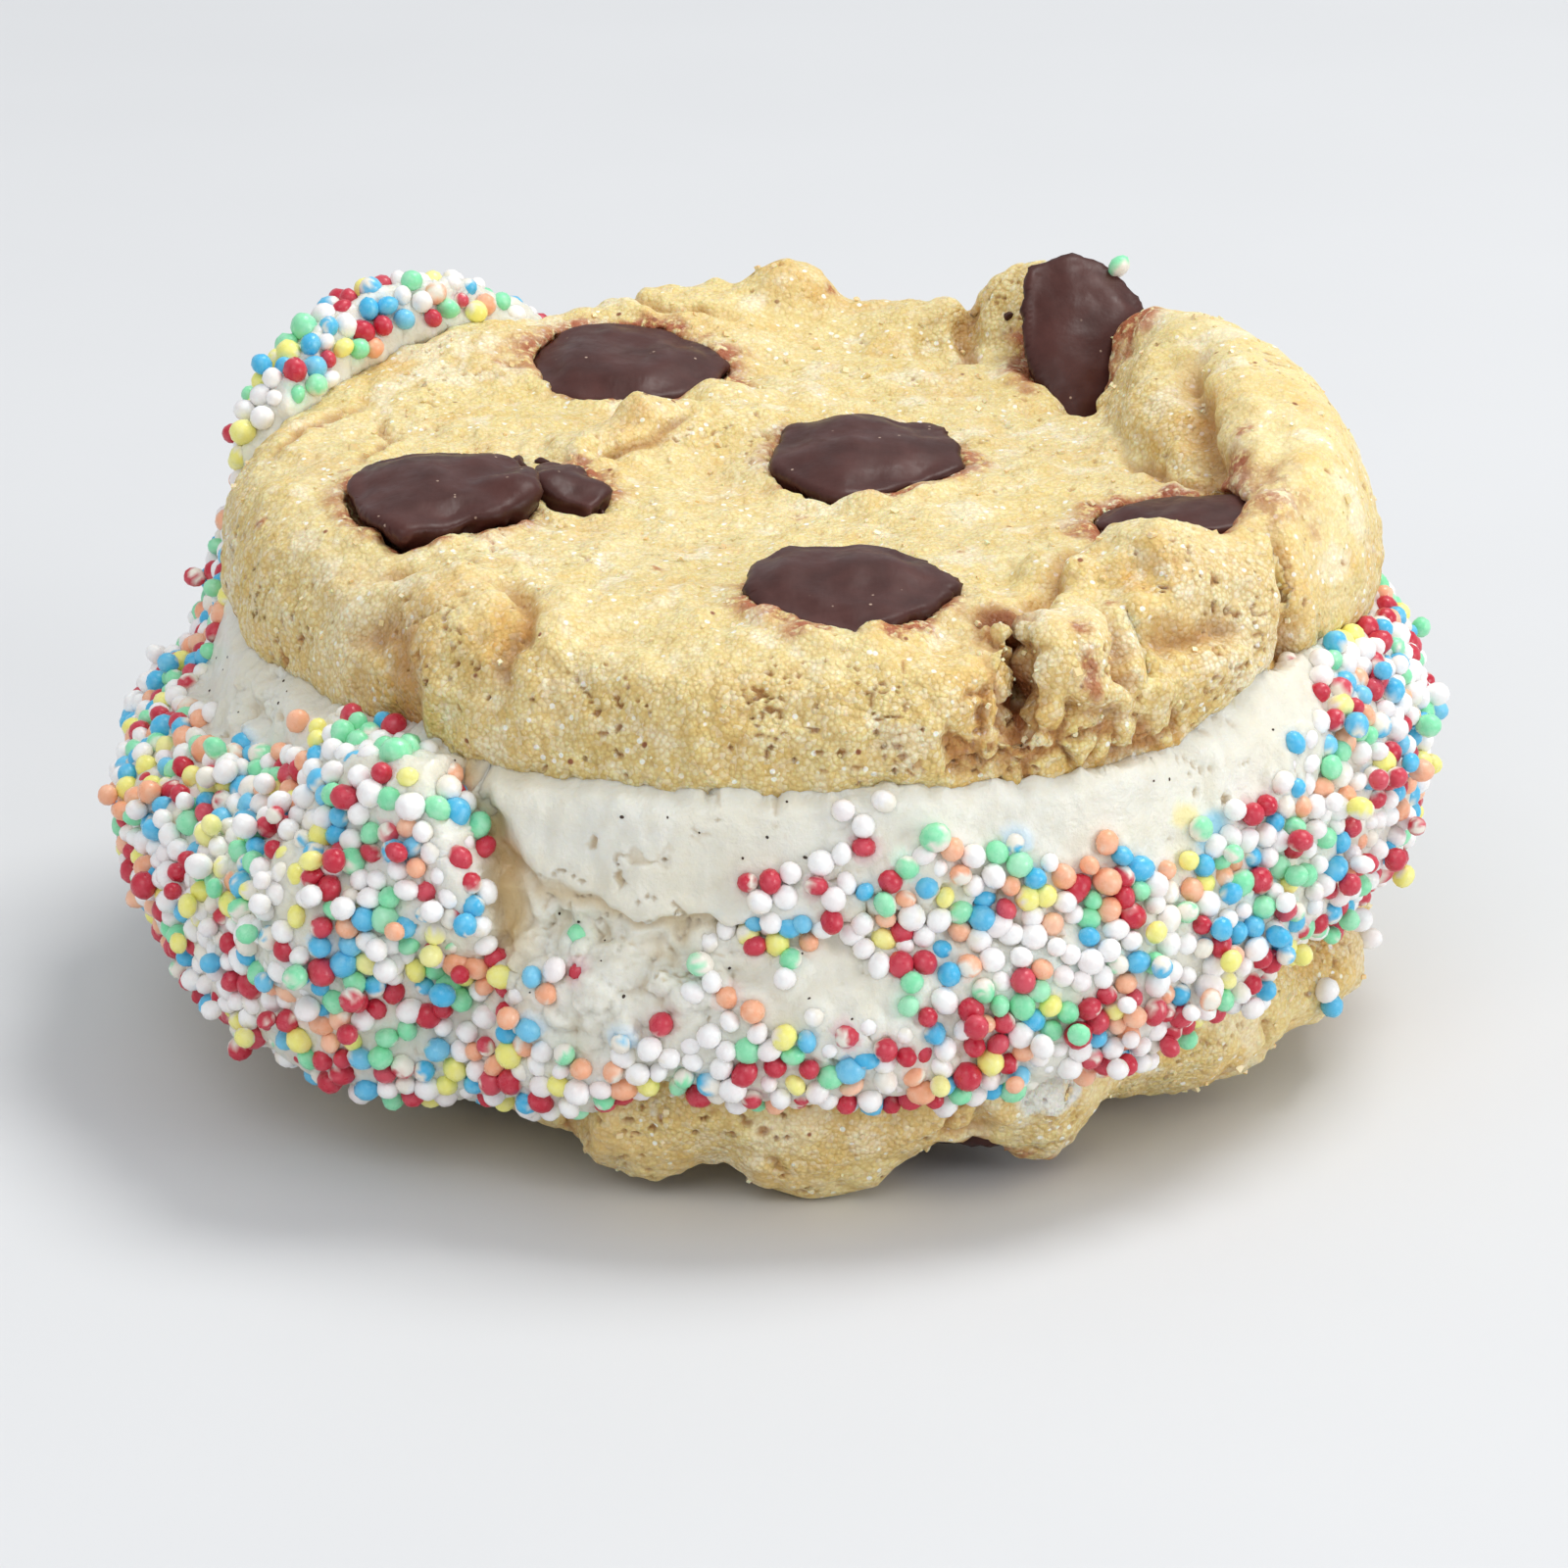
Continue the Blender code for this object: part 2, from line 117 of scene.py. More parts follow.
def around(angle, stations):
    """The stations' value at an angle, eased from each station to the next."""
    keys = np.array(sorted(stations), float)
    values = np.array([stations[k] for k in sorted(stations)], float)
    keys = np.append(keys, keys[0] + 360)
    values = np.append(values, values[0])
    angle = (angle - keys[0]) % 360 + keys[0]
    i = np.clip(np.searchsorted(keys, angle, side="right") - 1, 0, len(keys) - 2)
    t = smooth(angle, keys[i], keys[i + 1])
    return values[i] * (1 - t) + values[i + 1] * t


def scramble(cell, seed):
    """A repeatable 24-bit number for each integer cell."""
    c = cell.astype(np.int64)
    h = c[:, 0] * 73856093 ^ c[:, 1] * 19349663 ^ c[:, 2] * 83492791 ^ (seed + 1) * 40503
    h = (h ^ (h >> 13)) * 1274126177
    h = (h ^ (h >> 15)) * 668265263
    return (h ^ (h >> 17)) & 0xFFFFFF


def cell_vectors(cell, seed):
    """A vector with parts from -1 to 1 for each cell."""
    h = scramble(cell, seed)
    return np.stack([h & 255, (h >> 8) & 255, (h >> 16) & 255], axis=1) / 127.5 - 1


def noise(points, size, seed=0):
    """Gradient noise from about -1 to 1, with blobs of about size."""
    p = points / size + 7.31 * (seed + 1)
    cell = np.floor(p)
    f = p - cell
    u = f * f * f * (f * (f * 6 - 15) + 10)
    total = np.zeros(len(p))
    for corner in itertools.product((0, 1), repeat=3):
        c = np.array(corner)
        weight = np.prod(np.where(c == 1, u, 1 - u), axis=1)
        total += weight * np.sum(cell_vectors(cell + c, seed) * (f - c), axis=1)
    return 1.5 * total


def cells(points, size, seed=0):
    """Scattered spots of about size apart: the distance to the nearest and to the next one, both in
    sizes, and a random number from 0 to 1 of the nearest."""
    p = points / size
    base = np.floor(p)
    nearest = np.full(len(p), 9.0)
    second = np.full(len(p), 9.0)
    owner = np.zeros(len(p))
    for offset in itertools.product((-1, 0, 1), repeat=3):
        cell = base + np.array(offset)
        distance = length(cell + 0.5 + 0.42 * cell_vectors(cell, seed) - p)
        closer = distance < nearest
        second = np.where(closer, nearest, np.minimum(second, distance))
        owner = np.where(closer, scramble(cell, seed + 50) / 0xFFFFFF, owner)
        nearest = np.where(closer, distance, nearest)
    return nearest, second, owner


def path_distance(places, path):
    """Distance from a path of points, and how far along it the nearest spot is, from 0 to 1."""
    path = np.array(path, float)
    best = np.full(len(places), 1e9)
    share = np.zeros(len(places))
    for i, (start, end) in enumerate(zip(path, path[1:])):
        step = end - start
        t = np.clip((places - start) @ step / (step @ step), 0, 1)
        distance = length(places - start - t[:, None] * step)
        share = np.where(distance < best, (i + t) / (len(path) - 1), share)
        best = np.minimum(best, distance)
    return best, share


def top_share(values, share, soft=0.4):
    """1 where values are among this share of the highest, easing to 0 just below."""
    return smooth(values, np.quantile(values, 1 - share * (1 + soft)), np.quantile(values, 1 - share))


# ---- meshes


def add_object(name, data):
    obj = bpy.data.objects.new(name, data)
    bpy.context.scene.collection.objects.link(obj)
    return obj


def apply_modifiers(obj):
    bpy.context.view_layer.update()
    graph = bpy.context.evaluated_depsgraph_get()
    mesh = bpy.data.meshes.new_from_object(
        obj.evaluated_get(graph), preserve_all_data_layers=True, depsgraph=graph)
    obj.modifiers.clear()
    obj.data = mesh


def fine_form(node, name, voxel, smoothing):
    """A copy of a CAD node's form as a fine even mesh, with the facets smoothed away."""
    obj = add_object(name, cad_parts[node].data.copy())
    weld = obj.modifiers.new("Weld", "WELD")
    weld.merge_threshold = WELD_REACH * MM
    remesh = obj.modifiers.new("Remesh", "REMESH")
    remesh.mode = "VOXEL"
    remesh.voxel_size = voxel * MM
    ease = obj.modifiers.new("Ease", "SMOOTH")
    ease.factor = 0.5
    ease.iterations = smoothing
    apply_modifiers(obj)
    obj.data.materials.clear()
    return obj


def delete_faces(obj, choose, fill=False):
    """Deletes the faces that choose picks, and with fill closes each hole with one flat face."""
    bm = bmesh.new()
    bm.from_mesh(obj.data)
    bmesh.ops.delete(bm, geom=choose(bm), context="FACES")
    if fill:
        bmesh.ops.holes_fill(bm, edges=[e for e in bm.edges if len(e.link_faces) == 1], sides=0)
    bm.to_mesh(obj.data)
    bm.free()


def loose_faces(bm):
    """The faces of all small separate patches."""
    seen, loose = set(), []
    for start in bm.faces:
        patch = [] if start in seen else [start]
        seen.update(patch)
        for face in patch:
            near = {f for edge in face.edges for f in edge.link_faces} - seen
            seen |= near
            patch += near
        if len(patch) < LOOSE_FACES:
            loose += patch
    return loose


def thin_out(obj, most):
    """Drops triangles where the surface is flattest, down to at most this many, and loose bits."""
    thin = obj.modifiers.new("Thin", "DECIMATE")
    thin.ratio = min(1, most / len(triangles_of(obj)))
    apply_modifiers(obj)
    delete_faces(obj, loose_faces)


def fetched(items, name, kind=float):
    """The three numbers that each item has under a name."""
    values = np.empty(3 * len(items), kind)
    items.foreach_get(name, values)
    return values.reshape(-1, 3)


def read_points(obj):
    """Vertex places in mm, and vertex normals."""
    return fetched(obj.data.vertices, "co") / MM, fetched(obj.data.vertex_normals, "vector")


def write_points(obj, points, lowest=-np.inf):
    """Sets vertex places given in mm, none of them below the lowest height."""
    points[:, 2] = np.maximum(points[:, 2], lowest)
    obj.data.vertices.foreach_set("co", (points * MM).ravel())
    obj.data.update()


def write_fields(obj, **fields):
    """Stores values of 0 to 1 for each vertex, for the material to read."""
    for name, values in fields.items():
        layer = obj.data.attributes.new(name, "FLOAT", "POINT")
        layer.data.foreach_set("value", np.full(len(obj.data.vertices), values, float))


def coarsen_hidden(obj, radius, hidden):
    """Replaces the faces where two layers meet by one flat face per patch. hidden takes the faces'
    heights and how far they face up."""
    def choose(bm):
        middles = np.array([f.calc_center_median() for f in bm.faces]) / MM
        up = np.array([f.normal.z for f in bm.faces])
        chosen = hidden(middles[:, 2], up) & (plan_radius(middles) < radius)
        return [f for f, c in zip(bm.faces, chosen) if c]
    delete_faces(obj, choose, fill=True)


def triangles_of(obj):
    obj.data.calc_loop_triangles()
    return fetched(obj.data.loop_triangles, "vertices", int)


def joined_copies(name, faces, middles, shapes, axes):
    """One object of many copies of a shape. Each copy's points are turned to its axes and set down
    at its middle."""
    placed = middles[:, None, :] + shapes @ axes
    count, size = placed.shape[:2]
    corners = np.array([v for f in faces for v in f])
    index = (corners[None, :] + size * np.arange(count)[:, None]).ravel()
    sizes = np.tile([len(f) for f in faces], count)
    mesh = bpy.data.meshes.new(name)
    mesh.vertices.add(count * size)
    mesh.vertices.foreach_set("co", (placed * MM).ravel())
    mesh.loops.add(len(index))
    mesh.loops.foreach_set("vertex_index", index)
    mesh.polygons.add(len(sizes))
    mesh.polygons.foreach_set("loop_start", np.concatenate([[0], np.cumsum(sizes)[:-1]]))
    mesh.polygons.foreach_set("loop_total", sizes)
    mesh.update(calc_edges=True)
    return add_object(name, mesh)


def shape_from(build, **options):
    """Points and faces of a bmesh primitive. Blender's own order of the faces changes from run to run."""
    bm = bmesh.new()
    build(bm, **options)
    points = np.array([v.co for v in bm.verts])
    faces = sorted([v.index for v in f.verts] for f in bm.faces)
    bm.free()
    return points, faces


def frames_on(normals, rng):
    """For each normal, three rows: two directions across it, turned at random, and the normal."""
    helper = np.where(np.abs(normals[:, 2:3]) < 0.9, [[0, 0, 1]], [[1, 0, 0]])
    across = unit(np.cross(normals, helper))
    along = np.cross(normals, across)
    turn = rng.uniform(0, 2 * np.pi, len(normals))[:, None]
    cos, sin = np.cos(turn), np.sin(turn)
    return np.stack([across * cos + along * sin, along * cos - across * sin, normals], axis=1)


def scatter_on(obj, count, rng):
    """Random places on a mesh, evenly by area, with their normals."""
    points, normals = read_points(obj)
    index = triangles_of(obj)
    a, b, c = (points[index[:, i]] for i in range(3))
    area = length(np.cross(b - a, c - a))
    chosen = rng.choice(len(index), count, p=area / area.sum())
    u, v = rng.random((2, count, 1))
    flip = u + v > 1
    u, v = np.where(flip, 1 - u, u), np.where(flip, 1 - v, v)
    place = a[chosen] * (1 - u - v) + b[chosen] * u + c[chosen] * v
    return place, unit(sum(normals[index[chosen, i]] for i in range(3)))


def spaced(places, spacing):
    """Keeps each place that is at least spacing away from those kept before it."""
    grid = {}
    kept = []
    for i, (place, cell) in enumerate(zip(places, np.floor(places / spacing).astype(int))):
        near = (j for o in itertools.product((-1, 0, 1), repeat=3)
                for j in grid.get((cell[0] + o[0], cell[1] + o[1], cell[2] + o[2]), ()))
        if all(np.sum((places[j] - place) ** 2) >= spacing**2 for j in near):
            grid.setdefault(tuple(cell), []).append(i)
            kept.append(i)
    return np.array(kept)


def point_tree(points):
    """A search tree over points."""
    tree = KDTree(len(points))
    for i, point in enumerate(points):
        tree.insert(Vector(point), i)
    tree.balance()
    return tree


def surface_tree(*pieces):
    """A search tree over the surfaces of pieces, in mm."""
    points, faces = [], []
    for piece in pieces:
        start = len(points)
        points += [Vector(v) for v in read_points(piece)[0]]
        faces += [[start + i for i in f.vertices] for f in piece.data.polygons]
    return BVHTree.FromPolygons(points, faces)


def on_surface(tree, places):
    """The nearest spots of a surface, and its normals there."""
    found = [tree.find_nearest(Vector(place))[:2] for place in places]
    return np.array([spot for spot, _ in found]), np.array([normal for _, normal in found])


def drawn_to(points, tree, reach):
    """Moves points within reach of a surface towards just inside it. The nearer half go nearly all
    the way, but not fully, so that they keep their order."""
    moved = points.copy()
    for i, point in enumerate(points):
        spot, facing, _, distance = tree.find_nearest(Vector(point), reach)
        if spot is not None:
            inside = np.array(spot) - 0.15 * np.array(facing)
            moved[i] += (inside - point) * 0.93 * (1 - smooth(distance, 0.5 * reach, reach))
    return moved


def pushed_apart(places, tree, spacing, rounds):
    """Spreads places that crowd each other along a surface, and gives the normals there."""
    for _ in range(rounds):
        near = point_tree(places)
        push = np.zeros_like(places)
        for i, place in enumerate(places):
            for spot, j, distance in near.find_range(Vector(place), spacing):
                if j != i:
                    push[i] += (place - np.array(spot)) * (0.5 * (spacing - distance) / max(distance, 0.01))
        places, normals = on_surface(tree, places + 0.8 * push)
    return places, normals


# ---- materials


class Nodes:
    """Short calls for building a material's nodes. Sizes and distances are in millimetres."""

    def __init__(self, name, **values):
        self.material = bpy.data.materials.new(name)
        self.material.use_nodes = True
        self.tree = self.material.node_tree
        self.place = self.tree.nodes.new("ShaderNodeTexCoord").outputs["Object"]
        self.shade(**values)

    def give(self, socket, value):
        """Links another node's output to a socket, or sets the socket to a plain value."""
        if isinstance(value, bpy.types.NodeSocket):
            self.tree.links.new(value, socket)
        else:
            socket.default_value = value

    def shade(self, **values):
        """Sets or links the shader's inputs by name, and returns the material."""
        sockets = self.tree.nodes["Principled BSDF"].inputs
        for name, value in values.items():
            self.give(sockets[name.replace("_", " ").title().replace("Ior", "IOR")], value)
        return self.material

    def add(self, kind, inputs, **settings):
        node = self.tree.nodes.new(kind)
        for name, value in settings.items():
            setattr(node, name, value)
        for name, value in inputs.items():
            self.give(node.inputs[name], value)
        return node.outputs

    def noise(self, size, detail=3, roughness=0.55, place=None):
        return self.add("ShaderNodeTexNoise", {"Vector": place or self.place, "Scale": 1 / (size * MM),
                                               "Detail": detail, "Roughness": roughness})["Fac"]

    def streaks(self, size, reach):
        """Noise drawn out along Y."""
        stretch = (1, size / reach, 1)
        stretched = self.add("ShaderNodeMapping", {"Vector": self.place, "Scale": stretch})
        return self.noise(size, 2, 0.5, stretched["Vector"])

    def cells(self, size, output="Distance"):
        return self.add("ShaderNodeTexVoronoi", {"Vector": self.place, "Scale": 1 / (size * MM)})[output]

    def field(self, name, output="Fac"):
        return self.add("ShaderNodeAttribute", {}, attribute_name=name)[output]

    def span(self, value, low, high, to_low=0, to_high=1):
        """Maps low to high onto another range."""
        return self.add("ShaderNodeMapRange", {"Value": value, "From Min": low, "From Max": high,
                                               "To Min": to_low, "To Max": to_high})["Result"]

    def times(self, a, b):
        return self.add("ShaderNodeMath", {0: a, 1: b}, operation="MULTIPLY")[0]

    def mix(self, share, a, b):
        """Mixes two colours. 6, 7 and 2 are the node's sockets for colours."""
        return self.add("ShaderNodeMix", {0: share, 6: a, 7: b}, data_type="RGBA")[2]

    def paint(self, share, *colour):
        """Lays a colour over the one so far, by share."""
        self.colour = self.mix(share, self.colour, rgb(*colour))

    def bump(self, height, distance, strength, **under):
        inputs = {"Height": height, "Distance": distance * MM, "Strength": strength}
        return self.add("ShaderNodeBump", inputs | under)["Normal"]


def rgb(red, green, blue):
    """A shader colour from the 0-255 values that a screen shows."""
    def linear(value):
        value /= 255
        return value / 12.92 if value <= 0.04045 else ((value + 0.055) / 1.055) ** 2.4
    return (linear(red), linear(green), linear(blue), 1)


def cookie_material():
    n = Nodes("cookie_dough", subsurface_weight=0.5, subsurface_scale=1.4 * MM,
              subsurface_radius=(1, 0.66, 0.34))
    coarse = n.field("coarse")
    rugged = n.span(coarse, 0, 1, 0.3, 1)
    n.colour = n.mix(n.span(n.noise(9), 0.36, 0.66), rgb(244, 230, 177), rgb(240, 222, 157))
    n.paint(n.span(n.noise(2.8, 4), 0.46, 0.74, 0, 0.8), 230, 204, 129)
    n.paint(n.times(n.span(n.noise(1.5), 0.42, 0.62, 0, 0.45), coarse), 212, 176, 100)
    # Browned crust, with painted shade in hollows and grooves and along the upper cookie's lower edge.
    n.paint(n.field("brown"), 228, 172, 84)
    n.paint(n.field("pale"), 250, 241, 210)
    # Sugar crystals in the crust, clear to golden, with darker dough between them.
    n.paint(n.times(n.span(n.cells(0.36), 0.3, 0.62, 0, 0.55), rugged), 206, 168, 90)
    grain = n.cells(0.36, "Color")
    n.paint(n.times(n.span(grain, 0.5, 0.95, 0, 0.5), rugged), 254, 247, 222)
    n.paint(n.times(n.span(n.cells(1.1), 0.2, 0.15), n.span(n.noise(5, 1), 0.45, 0.5)), 254, 250, 234)
    # Painted shade in the pits, fissures and creases and between the nuggets of the crust.
    n.paint(n.field("deep"), 180, 122, 62)
    # Painted shade inside the main crack.
    n.paint(n.field("gash"), 146, 84, 40)
    n.paint(n.times(n.field("cocoa"), n.span(n.noise(0.6), 0.34, 0.5)), 170, 88, 52)
    n.paint(n.field("milky"), 232, 234, 228)
    n.paint(n.times(n.span(n.cells(2.6), 0.1, 0.06), n.span(n.noise(9, 1), 0.48, 0.52)), 150, 92, 56)
    crumb = n.bump(n.noise(1.3, 5, 0.7), 0.34, 0.9)
    lumps = n.bump(n.cells(0.8), -0.2, rugged, Normal=crumb)
    crystals = n.bump(n.cells(0.36), -0.2, rugged, Normal=lumps)
    return n.shade(base_color=n.colour, roughness=n.span(grain, 0.4, 0.9, 0.66, 0.26),
                   normal=n.bump(n.noise(0.2, 2), 0.06, 0.9, Normal=crystals))


def cream_material():
    n = Nodes("vanilla_ice_cream", subsurface_weight=0.5, subsurface_scale=1.2 * MM,
              subsurface_radius=(1, 0.84, 0.62))
    n.colour = n.mix(n.span(n.noise(7, 2), 0.35, 0.65), rgb(232, 231, 221), rgb(227, 223, 207))
    n.paint(n.span(n.noise(1.5, 4), 0.48, 0.7, 0, 0.4), 220, 213, 192)
    # Painted shade in pits, seams, the crease between the layers, the recess beside the lobe's end and
    # between curdled lumps.
    n.paint(n.field("deep"), 212, 184, 132)
    soft = n.bump(n.noise(1.1, 4, 0.6), 0.3, 0.7)
    return n.shade(base_color=n.mix(n.field("tint_share"), n.colour, n.field("tint", "Color")),
                   roughness=n.span(n.noise(1.6, 2), 0.35, 0.65, 0.28, 0.5),
                   normal=n.bump(n.noise(0.3, 2), 0.07, 0.7, Normal=soft))


def chocolate_material():
    n = Nodes("dark_chocolate", specular_ior_level=0.28)
    n.colour = n.mix(n.span(n.noise(3.4), 0.35, 0.7), rgb(64, 31, 26), rgb(82, 45, 40))
    n.paint(n.field("broken"), 58, 26, 20)
    n.paint(n.times(n.span(n.cells(1.3), 0.1, 0.06), n.span(n.noise(4, 1), 0.52, 0.58)), 186, 160, 142)
    scratched = n.bump(n.streaks(0.9, 5), 0.08, 0.6)
    return n.shade(base_color=n.colour, roughness=n.span(n.noise(1.4), 0.35, 0.7, 0.36, 0.56),
                   normal=n.bump(n.noise(0.5), 0.03, 0.5, Normal=scratched))


def ball_material(name, colour, pale):
    n = Nodes(name, subsurface_weight=0.25, subsurface_scale=0.4 * MM, subsurface_radius=(1, 0.9, 0.8))
    n.colour = n.mix(n.span(n.noise(0.8, 2), 0.42, 0.72, 0, 0.5), colour, pale)
    n.colour = n.mix(n.field("faded"), n.colour, pale)
    n.paint(n.field("smeared"), 241, 236, 224)
    return n.shade(base_color=n.colour, roughness=n.span(n.noise(0.5, 2), 0.35, 0.7, 0.24, 0.42),
                   normal=n.bump(n.noise(0.35), 0.04, 0.8))


def sugar_material():
    n = Nodes("sugar_grains", roughness=0.2, subsurface_weight=0.4, subsurface_scale=0.4 * MM)
    golden = n.span(n.noise(4, 1), 0.35, 0.6)
    return n.shade(base_color=n.mix(golden, rgb(246, 234, 200), rgb(232, 206, 150)),
                   normal=n.bump(n.noise(0.15, 1), 0.02, 0.5))


def seed_material():
    n = Nodes("vanilla_seeds", roughness=0.5)
    return n.shade(base_color=n.mix(n.noise(0.6, 1), rgb(26, 18, 14), rgb(66, 40, 26)))


# ---- cookies

# Creases of the upper crust, as (path in plan, half width, depth).
UPPER_CREASES = [
    ([(-29.5, -20), (-26, -23), (-24, -28), (-24.5, -33)], 1.5, 0.5),
    ([(-19, -22), (-16.6, -26.6), (-16.8, -30.4), (-18.4, -32.4)], 1.3, 0.9),
    ([(-28, -17), (-23, -17.8), (-19.5, -20.5)], 1, 0.7),
    ([(33.4, -15), (35.2, -19), (35, -24), (36.6, -29)], 1.2, 1.5),
    ([(21.5, -18), (19.4, -22), (18.2, -26), (16.6, -30)], 1.3, 0.8),
    ([(-6, 10.5), (-9.5, 6.6), (-13, 5)], 0.8, 0.6), ([(-30, 2), (-27.5, 9), (-29, 15)], 0.7, 0.45),
    ([(-12, 38), (-8.6, 34), (-3.4, 33.4)], 0.8, 0.7), ([(12.5, 26), (14.5, 31), (14.5, 38)], 1.1, 1.2),
    ([(25, 6), (28, -2), (33, -6)], 0.9, 0.7), ([(-36, 6), (-34, 12), (-30, 18)], 0.7, 0.4)]
# The same on the steep rim, where the paths also have heights.
RIM_CREASES = [
    ([(24.5, -30, 38.6), (28, -28, 37.8), (31.5, -24.5, 37.6)], 1.7, 1.2),
    ([(21.6, -26, 41), (22.4, -30, 39.5), (23.5, -33.5, 37), (25, -33.5, 34.5)], 1.3, 1.5),
    ([(29.8, 13, 45.2), (30.2, 2.1, 43.2), (31.2, -6, 40.6)], 2, 1.7),
    ([(18.5, -36, 36.2), (21, -35.4, 35), (23.5, -34.2, 34.2)], 0.8, 0.9),
    ([(7.8, -40.6, 34.6), (8.7, -42, 32.4), (8.9, -42.4, 30.6)], 1.3, 1.7),
    ([(-34, -22, 38), (-33, -25, 34)], 0.8, 0.8), ([(0, 44.5, 38), (1, 45, 34), (0, 44.6, 31)], 0.9, 1),
    ([(-33, 28, 39), (-34.4, 30, 35), (-33.6, 30, 31)], 0.9, 1),
    ([(43, 6, 42), (43.6, 7, 37), (43.2, 5.6, 32)], 0.8, 0.8)]
# Swellings and hollows, as (x, y, z, reach, height).
UPPER_SWELLINGS = [
    (30.6, -26.8, 35.4, 5.2, 1), (19.6, -34, 38.2, 3.6, 0.9), (27, -25, 40.6, 4.6, 0.7),
    (24.8, -25, 41.4, 2, -0.7), (33.4, -25, 31.4, 3.6, -1.3), (11.6, -38.6, 36.6, 3.4, 0.6),
    (26.2, 8.5, 41, 4.6, 1), (1.4, 38.8, 43, 5, 1.3), (-9.4, 10.9, 41, 3, 1.5),
    (-3.6, 17.8, 39.8, 4.6, 1.8), (-11.9, 5.6, 40.2, 2.2, -0.8), (-21, -26.6, 39.6, 4.4, 0.9),
    (-24, -28, 35, 5, 1.1)]
LOWER_SWELLINGS = [(41, -14, 6, 9, 1.4), (-15, -37, 4.5, 3, 0.8)]
# How much lower the rim of the upper cookie, and the ice cream under it, hang than the CAD forms.
RIM_DROOP = {
    -180: 0.8, -160: 1.8, -147: 2.6, -130: 2.3, -112: 1.8, -98: 1.2, -85: 0.8, -50: 0.6, -42: -0.3,
    -34: -1.6, -26: -0.8, -16: 0, 30: 0.5, 60: -0.4, 90: 0.4, 130: 0.9, 150: 0.2}
# How much lower the shoulder of the upper cookie slopes than the CAD form's.
SHOULDER = {
    -180: 0.3, -165: 1.2, -150: 2.2, -135: 2.4, -118: 1.8, -100: 1.4, -80: 1.2, -64: 0.4, -50: 0, 150: 0}
# Paler crust, as (x, y, z, reach, amount).
PALE = [(30.5, -24.7, 38.6, 7, 0.5), (-30.2, -18.9, 36.6, 8, 0.4), (21, -30, 40, 5, 0.4)]
# The smooth crust of the flap, as (path with heights, reach).
FLAP = ([(38, -12, 40), (40, 0, 44), (35, 16, 46), (30, 25, 46)], 12)
# Where the dough has broken up into nuggets, as (path with heights, reach).
UPPER_CRUMBLES = [
    ([(15, -30, 40), (15.6, -34, 38), (16.4, -37, 34), (17.4, -38, 31)], 3),
    ([(19.5, -36, 33.5), (23, -35, 32), (26.5, -32, 31.6)], 2.8),
    ([(13, -36.5, 36.5), (12.6, -38, 33)], 2.2)]
LOWER_CREASES = [
    ([(-13, -38.6, 8.6), (-13.3, -37, 6), (-13.6, -35.5, 3.6)], 1.2, 1.8),
    ([(-1.4, -41.4, 5.4), (-1, -39.6, 2)], 0.9, 1.1),
    ([(14.4, -39.6, 8.6), (14.2, -38, 6), (14, -36, 3.2)], 1.2, 1.6),
    ([(5.6, -41.6, 8.6), (6.6, -41.4, 6), (6.2, -40.8, 3.6)], 0.7, 0.6),
    ([(34, -23, 9), (33.4, -21.6, 4)], 1, 1), ([(26, 31.6, 9.6), (25.4, 30.6, 4)], 1, 1.1),
    ([(-30, 27, 9.6), (-29.4, 26, 4)], 1, 1.1)]
LOWER_CRUMBLES = [
    ([(-16.4, -37.6, 8), (-16, -36.4, 5.6), (-15.4, -35, 3.4)], 3.4),
    ([(12.4, -38.4, 6.4), (15.5, -37.4, 3.4)], 2.6), ([(-2.4, -40.6, 3.6), (0.6, -40, 2.4)], 1.8),
    ([(38.6, 12, 6), (36, 18, 4.4)], 2.6), ([(-12, 38, 6), (-16, 35, 4)], 2.8)]
# The inside of the main crack, which is painted darker as shade, as (path with heights, reach).
GASH = ([(15.2, -30, 39.5), (15.8, -31.5, 37.5), (16.3, -33.2, 35.6), (16.8, -34.6, 33.8)], 2.4)
# Ice cream dried onto the lower crust, as (x, y, z, reach, amount).
MILKY = [(18.6, -36.8, 8.2, 4, 1), (-38, 6, 6, 3, 1), (16, 36.5, 6.4, 3.4, 1)]
# Golden-brown patches, as (x, y, reach, amount): mostly browned crust, and a few, in grooves and hollows,
# painted shade.
BROWNED_AND_SHADED = [
    (24.8, -25, 3, 0.8), (20.5, -31, 3.6, 0.4), (28, -28, 4, 0.3), (-24, -25.5, 6, 0.8), (-18, -29, 4, 0.9),
    (38, -17, 6, 0.4), (-10.6, 8.6, 3.6, 0.7), (1.6, 40, 6, 0.7), (13.5, -35, 5, 0.6), (36, 2, 9, 0.2),
    (29.4, 4, 3.6, 0.5), (-36, -8, 6, 0.15), (-15, 1.6, 2, 0.9), (-22, -35, 5, 0.6), (35, -23, 4, 0.4)]
# Chocolate crumbs on the upper crust, as (x, y, size), and specks of chocolate in it, as (x, y, reach).
CHOCOLATE_CRUMBS = [
    (-18.4, 3.2, 1.6), (-19.8, 2.4, 1), (-16.6, 4.2, 0.9), (-12, -4.8, 0.9), (-17, -5.6, 1.7),
    (17.6, 31.6, 0.8)]
COCOA_SPECKS = [
    (1.6, -5.6, 0.8), (20, -33, 0.9), (20.6, -34.8, 1), (22.6, -27.4, 0.6), (-26.6, -17.6, 0.5),
    (8.2, 11.8, 0.7), (31, 20, 0.6), (-2.4, 21.6, 0.8), (12.8, -16.4, 0.5), (-33, 12, 0.5), (-8, -19, 0.6),
    (33.4, -3.6, 0.9), (-30.4, 0.8, 0.7), (-21.4, -19.6, 0.6), (-5, 30, 0.6), (4, 38, 0.7), (36, 8, 0.5),
    (-14, -24, 0.5), (24.6, -20, 0.6), (-36, -6, 0.6)]


